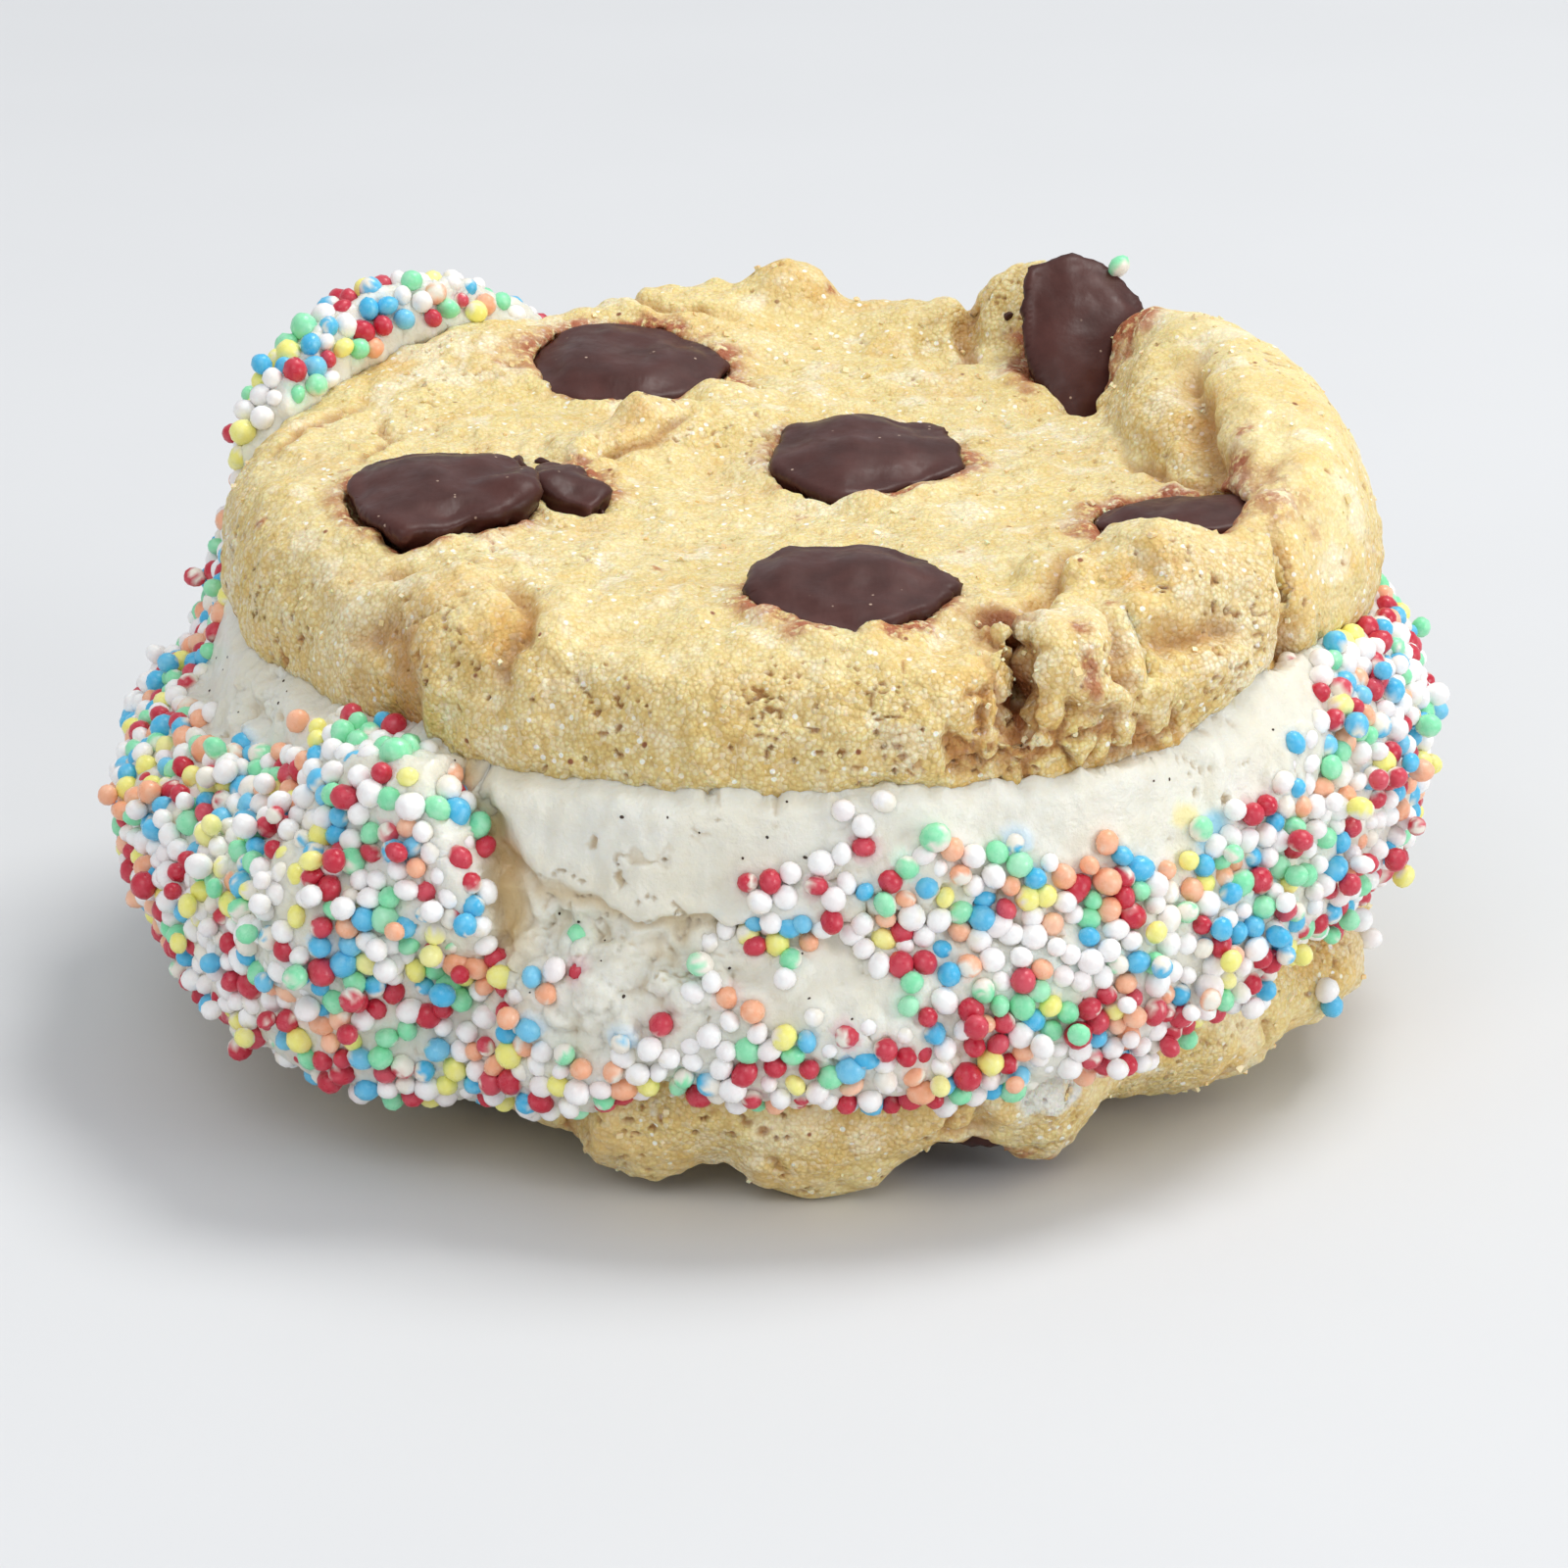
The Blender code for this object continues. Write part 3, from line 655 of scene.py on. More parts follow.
def dented(p, rows):
    """Creases given as (path, half width, depth): the height they take, and how deep each point lies."""
    height, deep = np.zeros(len(p)), np.zeros(len(p))
    wander = 0.8 * np.stack([noise(p, 2.5, seed) for seed in (31, 32, 33)], axis=1)
    for path, half_width, depth in rows:
        distance, share = path_distance((p + wander)[:, : len(path[0])], path)
        crease = bell(distance / half_width) * smooth(np.minimum(share, 1 - share), -0.02, 0.2)
        raised = bell((distance - 1.7 * half_width) / (1.3 * half_width))
        height += 0.3 * depth * raised - depth * crease
        deep = np.maximum(deep, 0.7 * crease)
    return height, deep


def crumbled(p, rows, seed):
    """Dough broken up along (path, reach): the relief of its nuggets, and how deep each point lies."""
    broken = np.zeros(len(p))
    for path, reach in rows:
        distance, _ = path_distance(p, path)
        broken = np.maximum(broken, smooth(distance + 0.9 * noise(p, 2, seed), reach, 0.4 * reach))
    lumps = nuggets(p, 2.8, seed + 1) + 0.3 * nuggets(p, 1.4, seed + 3)
    return 0.75 * broken * lumps, 0.9 * broken * smooth(lumps, -0.5, -1.15)


def dough_relief(p, normals, seed, creases, crumbles, crumble_seed, calm=0):
    """Height of a cookie's crumb in mm, how deep in a pit or fissure each point lies, from 0 to 1,
    and the same for the hollows between swellings. The last two set painted shade."""
    soft = 0.36 * noise(p, 8, seed) + 0.36 * noise(p, 3.8, seed + 1)
    fine = 0.28 * noise(p, 1.9, seed + 2) + 0.17 * noise(p, 0.9, seed + 3)
    nearest, _, _ = cells(p + 0.4 * noise(p, 1.5, seed + 12)[:, None], 1.5, seed + 4)
    lumpy = smooth(noise(p, 7, seed + 5), -0.3, 0.4)
    line = -np.abs(noise(p, 5, seed + 6) + 0.4 * noise(p, 1.6, seed + 7))
    fissure = top_share(line, 0.03) * smooth(noise(p, 10, seed + 8), 0.05, 0.3)
    # The side is more open than the top.
    openness = smooth(np.abs(normals[:, 2]), 0.9, 0.4)
    pores = noise(p, 0.8, seed + 9) + 0.5 * noise(p, 0.5, seed + 10) + 0.5 * noise(p, 6, seed + 11)
    # Pits and fissures sink the crumb, and the material paints shade in them.
    deep = np.maximum(0.6 * fissure, 0.8 * top_share(pores + 0.3 * openness, 0.006))
    height = soft + fine + 0.22 * lumpy * (0.55 - nearest) - 0.45 * deep
    height *= 1 - 0.6 * calm
    for more, depth in (dented(p, creases), crumbled(p, crumbles, crumble_seed)):
        height += more
        deep = np.maximum(deep, depth)
    return height, deep, smooth(-soft - fine, 0.1, 0.55)


def nuggets(p, size, seed):
    """Relief of broken dough: separate rounded lumps of about size, from -1 to 1."""
    nearest, second, owner = cells(p + 0.3 * size * noise(p, size, seed)[:, None], size, seed + 1)
    edge = smooth(second - nearest, 0, 0.4)
    return (2 * owner - 1) * 0.5 * edge - (1 - edge)


def around_chunks(p, nodes):
    """Distance outside the nearest chunk's outline in plan, roughly in mm, and the side it is on
    from -1 at the back to 1 in front."""
    best = np.full(len(p), 99.0)
    side = np.zeros(len(p))
    for node in nodes:
        low, high = (np.array(c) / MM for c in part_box(node))
        half = 0.5 * (high - low)
        dx, dy, dz = (p - 0.5 * (low + high)).T
        outside = (np.hypot(dx / half[0], dy / half[1]) - 1) * 0.5 * (half[0] + half[1])
        outside = np.hypot(np.maximum(outside, 0), np.maximum(np.abs(dz) - half[2], 0))
        closer = outside < best
        side = np.where(closer, -dy / np.maximum(np.hypot(dx, dy), 0.01), side)
        best = np.where(closer, outside, best)
    return best, side


def spots(p, rows):
    """Round spots given as (x, y, z, reach, amount), or without z for points in plan."""
    return sum(amount * bell(length(p - middle) / reach) for *middle, reach, amount in rows)


def plan_angle(p):
    return np.degrees(np.arctan2(p[:, 1], p[:, 0]))


def plan_radius(p):
    return np.hypot(p[:, 0], p[:, 1])


def rim_radius():
    """Directions, 5 degrees apart, and the upper cookie's radius in each."""
    p, _ = read_points(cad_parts["cookie_upper"])
    low = p[p[:, 2] < p[:, 2].min() + 6]
    ways = np.arange(-180, 180, 5)
    turned = np.abs((plan_angle(low)[None, :] - ways[:, None] + 180) % 360 - 180)
    return ways, np.where(turned < 6, plan_radius(low), 0).max(axis=1)


def hanging(p, rim, stations, reach):
    """How far down each point hangs, by the stations at the rim and less within reach of it."""
    inside = np.interp(plan_angle(p), *rim, period=360) - plan_radius(p)
    return around(plan_angle(p), stations) * smooth(inside, reach, 0.25 * reach)


def make_upper_cookie(rim, material):
    cookie = fine_form("cookie_upper", "upper_cookie", UPPER_VOXEL, 12)
    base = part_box("cookie_upper")[0].z / MM
    coarsen_hidden(cookie, 37.5, lambda z, up: (up < -0.9) & (z < base + 0.6))
    p, normals = read_points(cookie)
    z = p[:, 2]
    crust = smooth(z, base + 0.1, base + 1)
    # Browner along the lower edge: partly a toasted edge, partly painted shade where the cookie meets the
    # ice cream.
    edge_brown_and_shade = smooth(z + 0.5 * noise(p, 2.5, 46), base + 1.9, base + 0.5)
    shoulder = hanging(p, rim, SHOULDER, 11) * smooth(z, base + 4, base + 8)
    z -= shoulder + hanging(p, rim, RIM_DROOP, 5) * smooth(z, base + 9, base + 1)
    calm = bell(path_distance(p, FLAP[0])[0] / FLAP[1])
    height, deep, hollow = dough_relief(
        p, normals, 10, UPPER_CREASES + RIM_CREASES, UPPER_CRUMBLES, 34, calm)
    height += spots(p, UPPER_SWELLINGS)
    outside, side = around_chunks(p, UPPER_CHUNKS)
    lip = bell((outside - 0.7) / 1.5) * smooth(z, base + 5.5, base + 7.5)
    height += lip * (0.3 + 0.35 * side) * (0.7 + 0.6 * noise(p, 2, 38))
    ragged = outside + 1.2 * noise(p, 1.5, 39) + 1.6 * noise(p, 4, 40)
    smear = 0.95 * smooth(ragged, 2.8 - 1.9 * side**2, -0.2)
    specks = np.clip(spots(p[:, :2], [(*row, 1.3) for row in COCOA_SPECKS]), 0, 0.8)
    # Browned crust in patches, with painted shade added in the hollows between swellings and along the
    # lower edge.
    brown = spots(p[:, :2], BROWNED_AND_SHADED) + 0.3 * top_share(noise(p, 5, 41), 0.12, 1.5)
    brown = brown * (0.6 + 0.7 * noise(p, 1.8, 42)) + 0.3 * hollow + 0.7 * edge_brown_and_shade
    # Crumbs are raised near the main crack, and its inside gets painted shade.
    inside = path_distance(p, GASH[0])[0] / GASH[1]
    height += bell(0.6 * inside) * (0.6 + 0.9 * noise(p, 1.8, 45))
    pale = 0.7 * top_share(noise(p, 3.5, 43) + 0.5 * noise(p, 1.2, 44), 0.08, 1)
    pale += spots(p, PALE) * (0.8 + 0.6 * noise(p, 2, 47))
    write_points(cookie, p + normals * (height * crust)[:, None])
    write_fields(
        cookie, deep=np.clip(deep, 0, 1), cocoa=np.maximum(smear, specks) * smooth(z, base + 3, base + 5),
        brown=np.clip(brown, 0, 1), gash=np.clip(1.3 * bell(inside), 0, 1), milky=0,
        pale=np.clip(pale, 0, 0.9),
        coarse=(0.45 + 0.55 * smooth(np.abs(normals[:, 2]), 0.97, 0.6)) * (1 - 0.85 * calm))
    thin_out(cookie, UPPER_TRIANGLES)
    return dress(cookie, "cookie_upper", material)


def make_lower_cookie(material):
    cookie = fine_form("cookie_lower", "lower_cookie", LOWER_VOXEL, 8)
    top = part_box("cookie_lower")[1].z / MM
    coarsen_hidden(cookie, 37, lambda z, up: (up > 0.9) & (z > top - 0.6))
    p, normals = read_points(cookie)
    z = p[:, 2]
    height, deep, hollow = dough_relief(p, normals, 60, LOWER_CREASES, LOWER_CRUMBLES, 64)
    height += spots(p, LOWER_SWELLINGS)
    outside, _ = around_chunks(p, LOWER_CHUNKS)
    smear = smooth(outside + 1.3 * noise(p, 1.6, 81), 1, -0.2) * smooth(z, 8, 5)
    standing = smooth(z, 0.2, 1.4)
    crust = smooth(z, top - 0.1, top - 1) * standing
    write_points(cookie, p + normals * (height * crust)[:, None], 0)
    # Browner in random patches, with painted shade in the hollows; pits and creases get painted shade too.
    write_fields(
        cookie, deep=np.clip(deep * (0.4 + 0.6 * standing), 0, 1), cocoa=0.75 * smear,
        brown=np.clip(0.2 + 0.5 * noise(p, 6, 82) + 0.3 * hollow, 0, 0.7), gash=0,
        milky=0.9 * smooth(spots(p, MILKY) + 0.5 * noise(p, 1.2, 84), 0.3, 0.6),
        pale=0.5 * top_share(noise(p, 3.5, 83), 0.08, 1),
        coarse=0.4 + 0.5 * smooth(noise(p, 6, 85), -0.3, 0.4))
    thin_out(cookie, LOWER_TRIANGLES)
    return dress(cookie, "cookie_lower", material)


def dress(piece, node, material):
    """Gives a piece its material and its place in the frame."""
    piece.data.materials.clear()
    piece.data.materials.append(material)
    piece.data.shade_smooth()
    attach(piece, "root")
    if node:
        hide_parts(node)
    return piece


# How the pieces of the broken chunk reach towards each other, as (x, y, z, reach, height).
CHUNK_SWELLINGS = [(-17.6, -6.4, 41.6, 3.4, 1.5), (-16.6, -3.6, 41.4, 2.8, 1.3)]

# Corners and flat parts of the chunks' sides, given in the same way.
CHUNK_CORNERS = [
    (-17.4, 21, 41, 3.6, 1.2), (-16.6, 29.4, 41.5, 4.2, -1), (-4.6, 27, 41.5, 3.2, 0.7),
    (1.4, 10, 41, 3.6, 0.9), (11.2, 10.4, 41, 3.8, 1.4), (13.4, 1, 41, 3.8, 1.2),
    (0.2, -0.6, 41, 4.4, -0.8), (7.6, -3.4, 41, 3, 0.5), (-1.8, -27.8, 41, 3.2, 0.8),
    (0, -20.2, 41, 4.2, -0.9), (9.6, -19.4, 41, 3.6, 0.9), (11.6, -26, 41, 4.2, 1.2),
    (9.2, -32, 41, 3.4, -0.5), (-26.6, -13, 41, 4.4, -0.5), (-30.2, -6, 41, 4.6, -0.4),
    (-17.8, -10.6, 41, 3.2, 0.8)]


def make_chunk(node, voxel, material, seed, rugged=1):
    """A chunk with a flat top, a crisp shoulder and ragged, broken sides."""
    chunk = fine_form(node, node.replace("chunk", "chocolate"), voxel, 4)
    p, normals = read_points(chunk)
    spread = p - p.mean(axis=0)
    flat_way = np.linalg.eigh(spread.T @ spread)[1][:, 0]
    flat_way *= np.sign(flat_way[2])
    facing = normals @ flat_way
    side = smooth(facing, 0.75, 0.35)
    height = 0.06 + 0.45 * bell((facing - 0.55) / 0.4) + 0.6 * noise(p, 5.5, seed)
    height += spots(p, CHUNK_CORNERS) * side + spots(p, CHUNK_SWELLINGS)
    height += 0.3 * rugged * noise(p, 2.6, seed + 4) * (0.3 * rugged + side)
    height += 0.16 * noise(p * np.array([1, 0.3, 1]), 1.8, seed + 1)
    broken = side * top_share(noise(p, 3.2, seed + 2), 0.4, 0.6)
    height -= 0.7 * broken * np.abs(noise(p, 1.1, seed + 3))
    write_points(chunk, p + normals * height[:, None], 0.05)
    write_fields(chunk, broken=broken)
    return dress(chunk, node, material)


# ---- ice cream and sugar balls

# Places on the ice cream's side are given as (angle, height).
SIDE_STEP = math.radians(42)  # mm along the side for each degree
# The free end of the lobe on the left, which stands out over the front.
LOBE_END = [(-133, 35), (-127.5, 31.5), (-123.5, 29.5), (-120, 26.5), (-118, 23.5), (-117, 19)]
# The crease between the two layers in front.
LAYER_CREASE = [(-117, 25), (-111, 23.6), (-105, 22.5), (-98, 22), (-91, 22.2), (-83, 22.8), (-76, 22.6)]
# The curdled, open parts, as (angle, height, reach in degrees, reach in mm).
CURDLED = [(-109, 17.5, 13, 7.5), (-98, 18.5, 8, 4), (-159, 28, 7, 3.5)]

# Height up to which the balls cover the side, at an angle. From -20 to 150 they reach the upper cookie.
BALL_TOP = {
    -180: 23.4, -172: 24.2, -166: 24.4, -162: 24.8, -155: 26, -149: 27.2, -144: 29.8, -139: 34, -134: 38,
    -129: 36, -125: 34.5, -122: 32.5, -119: 30, -117.4: 26, -116: 19, -112: 15.6, -106: 14, -101: 16.5,
    -96: 21, -92: 25, -86: 27.5, -78: 28.5, -70: 27, -62: 26, -52: 24.6, -45: 25.6, -38: 27.5, -33: 29,
    -27: 32, -20: 60, 150: 60, 166: 44, 174: 30}
# Thinner spots of the cover, as (angle, height, reach in degrees, reach in mm, how much thinner).
BALL_GAPS = [
    (-84, 29.5, 10, 5.5, 0.7), (-103, 15.5, 6, 5, 0.5), (-95, 17, 9, 6, 0.6), (-84, 18, 13, 6, 0.8),
    (-69, 28, 12, 3, 0.4), (-123, 11, 5, 4, 0.4), (-46, 22, 8, 3, 0.3), (-62, 10, 4, 2, 0.9),
    (116, 45, 12, 6, 0.75)]
# Bare parts with a few single balls, as (angle, height, reach in degrees, reach in mm, cover).
BALL_TRACES = [(-151, 31.4, 4, 2, 0.6), (-84, 29.5, 8, 3, 0.3), (-110, 17.6, 7, 3.6, 0.3)]
# Where more balls lie on top of the first, as (angle, height, reach in degrees, reach in mm, share).
BALL_HEAPS = [
    (-138, 20, 34, 13, 0.6), (-55, 14, 40, 7, 0.4), (-30, 22, 26, 12, 0.4), (20, 24, 50, 14, 0.25),
    (90, 24, 60, 14, 0.25)]
# Colour that has run into the ice cream, as (angle, height, reach in degrees, reach in mm, colour, amount).
BLEEDS = [
    (-46, 24.4, 3.4, 2.6, rgb(120, 200, 232), 0.75), (-39, 23.2, 3.2, 2.4, rgb(160, 232, 190), 0.6),
    (-49, 26.2, 2.6, 1.3, rgb(244, 226, 130), 0.6), (-42, 20.5, 4, 2, rgb(150, 214, 232), 0.4),
    (-66, 18, 7, 4, rgb(190, 232, 226), 0.3), (-131, 24, 3, 2.2, rgb(226, 150, 160), 0.4),
    (60, 20, 6, 3, rgb(150, 214, 232), 0.4), (130, 18, 5, 3, rgb(240, 180, 180), 0.35)]
# Balls that have come off onto the cookies, as (x, y, z, kind).
STRAY_BALLS = [
    (38.6, -18.6, 8.2, "white"), (39.2, -18, 6.6, "blue"), (41.6, -12.6, 9.6, "white"),
    (22.4, -34, 9, "peach"), (25.9, 30.6, 47, "green"), (40, 10, 7, "red"), (30.5, 28, 6.5, "yellow"),
    (-33, 20, 7, "white")]
BALL_KINDS = {
    "white": (0.37, rgb(249, 249, 248), rgb(240, 228, 228)),
    "red": (0.17, rgb(196, 36, 60), rgb(222, 100, 116)),
    "blue": (0.13, rgb(72, 184, 230), rgb(150, 214, 238)),
    "green": (0.12, rgb(136, 228, 176), rgb(190, 240, 208)),
    "yellow": (0.1, rgb(246, 240, 132), rgb(248, 244, 186)),
    "peach": (0.11, rgb(246, 176, 138), rgb(250, 212, 186))}


def side_place(p):
    """Angle and height of each point, with the angle as mm along the side."""
    return np.stack([plan_angle(p) * SIDE_STEP, p[:, 2]], axis=1)


def side_path(p, path):
    """Distance along the side from a path of angles and heights, and the share along it."""
    return path_distance(side_place(p), [(angle * SIDE_STEP, height) for angle, height in path])


def near_spot(p, angle, height, reach_angle, reach_height):
    """1 at a spot of the side, given by angle and height, and 0 at its reach."""
    turned = (plan_angle(p) - angle + 180) % 360 - 180
    return bell(np.hypot(turned / reach_angle, (p[:, 2] - height) / reach_height))


def beyond_lobe_end(p):
    """How far to the right of the lobe's end a point lies, in mm. It is negative on the lobe."""
    heights = [h for _, h in reversed(LOBE_END)]
    angles = [a for a, _ in reversed(LOBE_END)]
    return (plan_angle(p) - np.interp(p[:, 2], heights, angles)) * SIDE_STEP


def cream_forms(p):
    """How far the folds of the ice cream stand out, in mm, and how deep in a fold each point lies, which
    sets painted shade.
    """
    z = p[:, 2]
    beyond = beyond_lobe_end(p) + 0.7 * noise(p, 2.4, 86)
    near_end = smooth(z, 17, 20.5)
    ridge = 1.9 * smooth(beyond, 0.25, -0.55) * smooth(beyond, -9, -3)
    recess = smooth(beyond, -0.1, 0.6) * smooth(beyond, 5, 1.2)
    out = near_end * ridge - 2.8 * smooth(z, 18, 26) * recess
    distance, share = side_path(p + 0.9 * noise(p, 2, 87)[:, None], LAYER_CREASE)
    crease = bell(distance / (1.2 - 0.6 * share)) * smooth(share, 1.02, 0.85)
    lip = bell((distance - 1.3) / 1.5) * (above_crease(p) > 0) * smooth(share, 1, 0.8)
    out += 0.25 * lip * (1 + noise(p, 1.6, 88)) - 0.7 * crease
    return out, np.maximum(0.9 * near_end * recess, 0.6 * crease)


def above_crease(p):
    """Height above the crease between the layers, in mm."""
    return p[:, 2] - np.interp(plan_angle(p), *zip(*LAYER_CREASE))


def blobs(p, size, seed):
    """Relief of soft round lumps of about size, from 0 to 1."""
    nearest, _, owner = cells(p + 0.25 * size * noise(p, size, seed)[:, None], size, seed + 1)
    return (0.4 + 0.6 * owner) * np.sqrt(np.clip(1 - (nearest / 0.75) ** 2, 0, 1))


def cream_relief(p, normals):
    """Relief of the bare ice cream in mm, and how deep in a seam each point lies, which sets painted shade
    in seams, pits, folds and between curdled lumps.
    """
    out, fold = cream_forms(p)
    side = smooth(np.abs(normals[:, 2]), 0.98, 0.85)
    height = 0.4 * noise(p, 7, 90) + 0.16 * noise(p, 3, 91)
    # Drawn by the cookie: faint streaks that run up and down.
    for low, size, stretch, seed in ((0.2, 1.7, 0.28, 92), (0.12, 0.9, 0.4, 93)):
        height += low * noise(p * np.array([1, 1, stretch]), size, seed)
    curdled = sum(near_spot(p, *spot) for spot in CURDLED)
    curdled = smooth(curdled + 0.22 * noise(p, 3, 94), 0.12, 0.4)
    curdled *= smooth(-above_crease(p), -1, 0) + (plan_angle(p) < -140)
    lumps = blobs(p, 2.3, 95) + 0.5 * blobs(p, 1.1, 97)
    height += 1.35 * curdled * (lumps - 0.85)
    pit = top_share(noise(p, 1.6, 99) + 0.6 * noise(p, 6, 100), 0.008)
    line = -np.abs(noise(p * np.array([1, 1, 2]), 6, 101) + 0.3 * noise(p, 1.5, 102))
    seam = top_share(line, 0.035) * smooth(noise(p, 10, 103), 0.1, 0.35)
    height -= 0.5 * pit + 0.35 * seam
    # Painted shade in pits and seams, between the curdled lumps and in the folds.
    deep = np.maximum(0.6 * pit, 0.4 * seam) + 0.4 * curdled * smooth(lumps, 0.5, 0.05)
    return (height + out) * side, np.clip(np.maximum(deep, fold), 0, 1)


def ball_cover(p):
    """How thickly the balls lie at a place, from 0 to 1."""
    cover = smooth(around(plan_angle(p), BALL_TOP) - p[:, 2] + 0.9 * noise(p, 4, 110), -0.6, 0.6)
    for *spot, less in BALL_GAPS:
        cover *= 1 - less * near_spot(p, *spot)
    beyond = beyond_lobe_end(p)
    cover *= 1 - smooth(p[:, 2], 17, 20) * smooth(beyond, -0.1, 0.4) * smooth(beyond, 12, 9)
    for *spot, trace in BALL_TRACES:
        cover = np.maximum(cover, trace * near_spot(p, *spot))
    return cover


def place_balls(cream, cookies, rng):
    """Where the balls lie: middle, normal and size of each, and how sunk in the ice cream."""
    tree = surface_tree(cream)
    places, _ = scatter_on(cream, BALL_CANDIDATES, rng)
    places = places[ball_cover(places) > 0.03]
    places = places[spaced(places, BALL_DENSITY)]
    places, normals = pushed_apart(places, tree, BALL_SPACING, 8)
    clear = clear_of(cookies, places + 0.3 * BALL_SIZE * normals, 0.42 * BALL_SIZE)
    kept = clear & (ball_cover(places) > 0.8 * rng.random(len(places)) + 0.12 * noise(places, 3, 111))
    places, normals = places[kept], normals[kept]
    size = BALL_SIZE * np.clip(rng.normal(1, 0.09, len(places)), 0.78, 1.22)
    sunk = top_share(noise(places, 6, 112) + 0.5 * noise(places, 2, 113), 0.14, 0.8)
    lift = rng.uniform(0.14, 0.42, len(places)) - 0.24 * sunk
    first = (places + normals * (lift * size)[:, None], normals, size, sunk)
    return heap_up(first, cookies, rng)


def heap_up(balls, cookies, rng):
    """Adds balls that lie on the first ones, each raised until it clears them."""
    middles, normals, _, _ = heaped = balls
    share = 0.04 + sum(amount * near_spot(middles, *spot) for *spot, amount in BALL_HEAPS)
    share *= 1 + 0.8 * noise(middles, 5, 114)
    full = (ball_cover(middles) > 0.9) & (share > rng.random(len(middles)))
    ways = frames_on(normals, rng)[:, 0]
    for i in np.flatnonzero(full):
        size = BALL_SIZE * rng.uniform(0.8, 1.08)
        for lift in np.arange(0.2, 0.95, 0.08):
            middle = middles[i] + BALL_SIZE * (0.58 * ways[i] + lift * normals[i])
            gap = length(heaped[0] - middle) - 0.5 * (heaped[2] + size)
            if gap.min() > -0.1 * size:
                if np.sum(gap < 0.12 * size) > 1:
                    heaped = with_more(heaped, ([middle], [normals[i]], [size], [0]))
                break
    clear = clear_of(cookies, heaped[0], 0.5 * BALL_SIZE)
    clear[: len(middles)] = True
    return tuple(values[clear] for values in heaped)


def with_more(balls, more):
    """Adds to each of the balls' arrays."""
    return tuple(np.concatenate(pair) for pair in zip(balls, more))


def clear_of(tree, middles, reach):
    """Whether each middle is outside a closed surface and at least reach away from it."""
    clear = []
    for middle in middles:
        spot, facing, _, distance = tree.find_nearest(Vector(middle))
        clear.append((Vector(middle) - spot).dot(facing) > 0 and distance > reach)
    return np.array(clear)


def add_strays(balls, kinds, cookies):
    """Adds the balls that lie on the cookies."""
    places, normals = on_surface(cookies, [ball[:3] for ball in STRAY_BALLS])
    size = np.full(len(places), BALL_SIZE)
    balls = with_more(balls, (places + 0.34 * BALL_SIZE * normals, normals, size, 0 * size))
    return balls, np.append(kinds, [ball[3] for ball in STRAY_BALLS])


def make_cream_form(rim, cookies, base):
    """The ice cream's own form and relief, before any balls."""
    cream = fine_form("ice_cream", "ice_cream_filling", CREAM_VOXEL, 12)
    coarsen_hidden(cream, 36.5, lambda z, up: np.abs(up) > 0.9)
    p, normals = read_points(cream)
    p[:, 2] -= hanging(p, rim, RIM_DROOP, 5) * smooth(p[:, 2], base - 7, base)
    height, deep = cream_relief(p, normals)
    write_points(cream, drawn_to(p + normals * height[:, None], cookies, 1.5))
    write_fields(cream, deep=deep)
    return cream


def choose_kinds(count, rng):
    names = list(BALL_KINDS)
    shares = np.array([BALL_KINDS[k][0] for k in names])
    return np.array(names)[rng.choice(len(names), count, p=shares / shares.sum())]


def make_cream(cream, balls, kinds, material, rng):
    """Draws the ice cream up around the balls, and tints it where colour has run."""
    middles, _, sizes, sunk = balls
    p, normals = read_points(cream)
    tree = point_tree(middles)
    found = [tree.find(Vector(point)) for point in p]
    owner = np.array([i for _, i, _ in found])
    outside = np.array([distance for _, _, distance in found]) - 0.5 * sizes[owner]
    wetness = np.maximum(rng.uniform(0.2, 0.8, len(middles)), sunk)[owner]
    drawn = bell(np.maximum(outside - 0.1, 0) / 0.85) * wetness
    write_points(cream, p + normals * (0.44 * drawn)[:, None])
    colours = 0.5 * np.array([BALL_KINDS[k][1][:3] for k in kinds])[owner] + 0.5
    running = np.where(kinds == "white", 0, 0.15 + 0.5 * (rng.random(len(middles)) > 0.8))[owner]
    share = running * smooth(outside, 0.9, -0.1)
    for *spot, colour, amount in BLEEDS:
        run = amount * smooth(near_spot(p, *spot) + 0.3 * noise(p, 1.5, 115), 0.15, 0.7)
        colours = np.where((run > share)[:, None], colour[:3], colours)
        share = np.maximum(share, run)
    layer = cream.data.attributes.new("tint", "FLOAT_COLOR", "POINT")
    layer.data.foreach_set("color", np.insert(colours, 3, 1, axis=1).ravel())
    write_fields(cream, tint_share=share)
    thin_out(cream, CREAM_TRIANGLES)
    return dress(cream, "ice_cream", material)


def own_noise(shapes, size, seed):
    """Noise over the points of many shapes, another piece of it for each."""
    apart = shapes + 5.0 * np.arange(len(shapes))[:, None, None]
    return noise(apart.reshape(-1, 3), size, seed).reshape(len(shapes), -1)


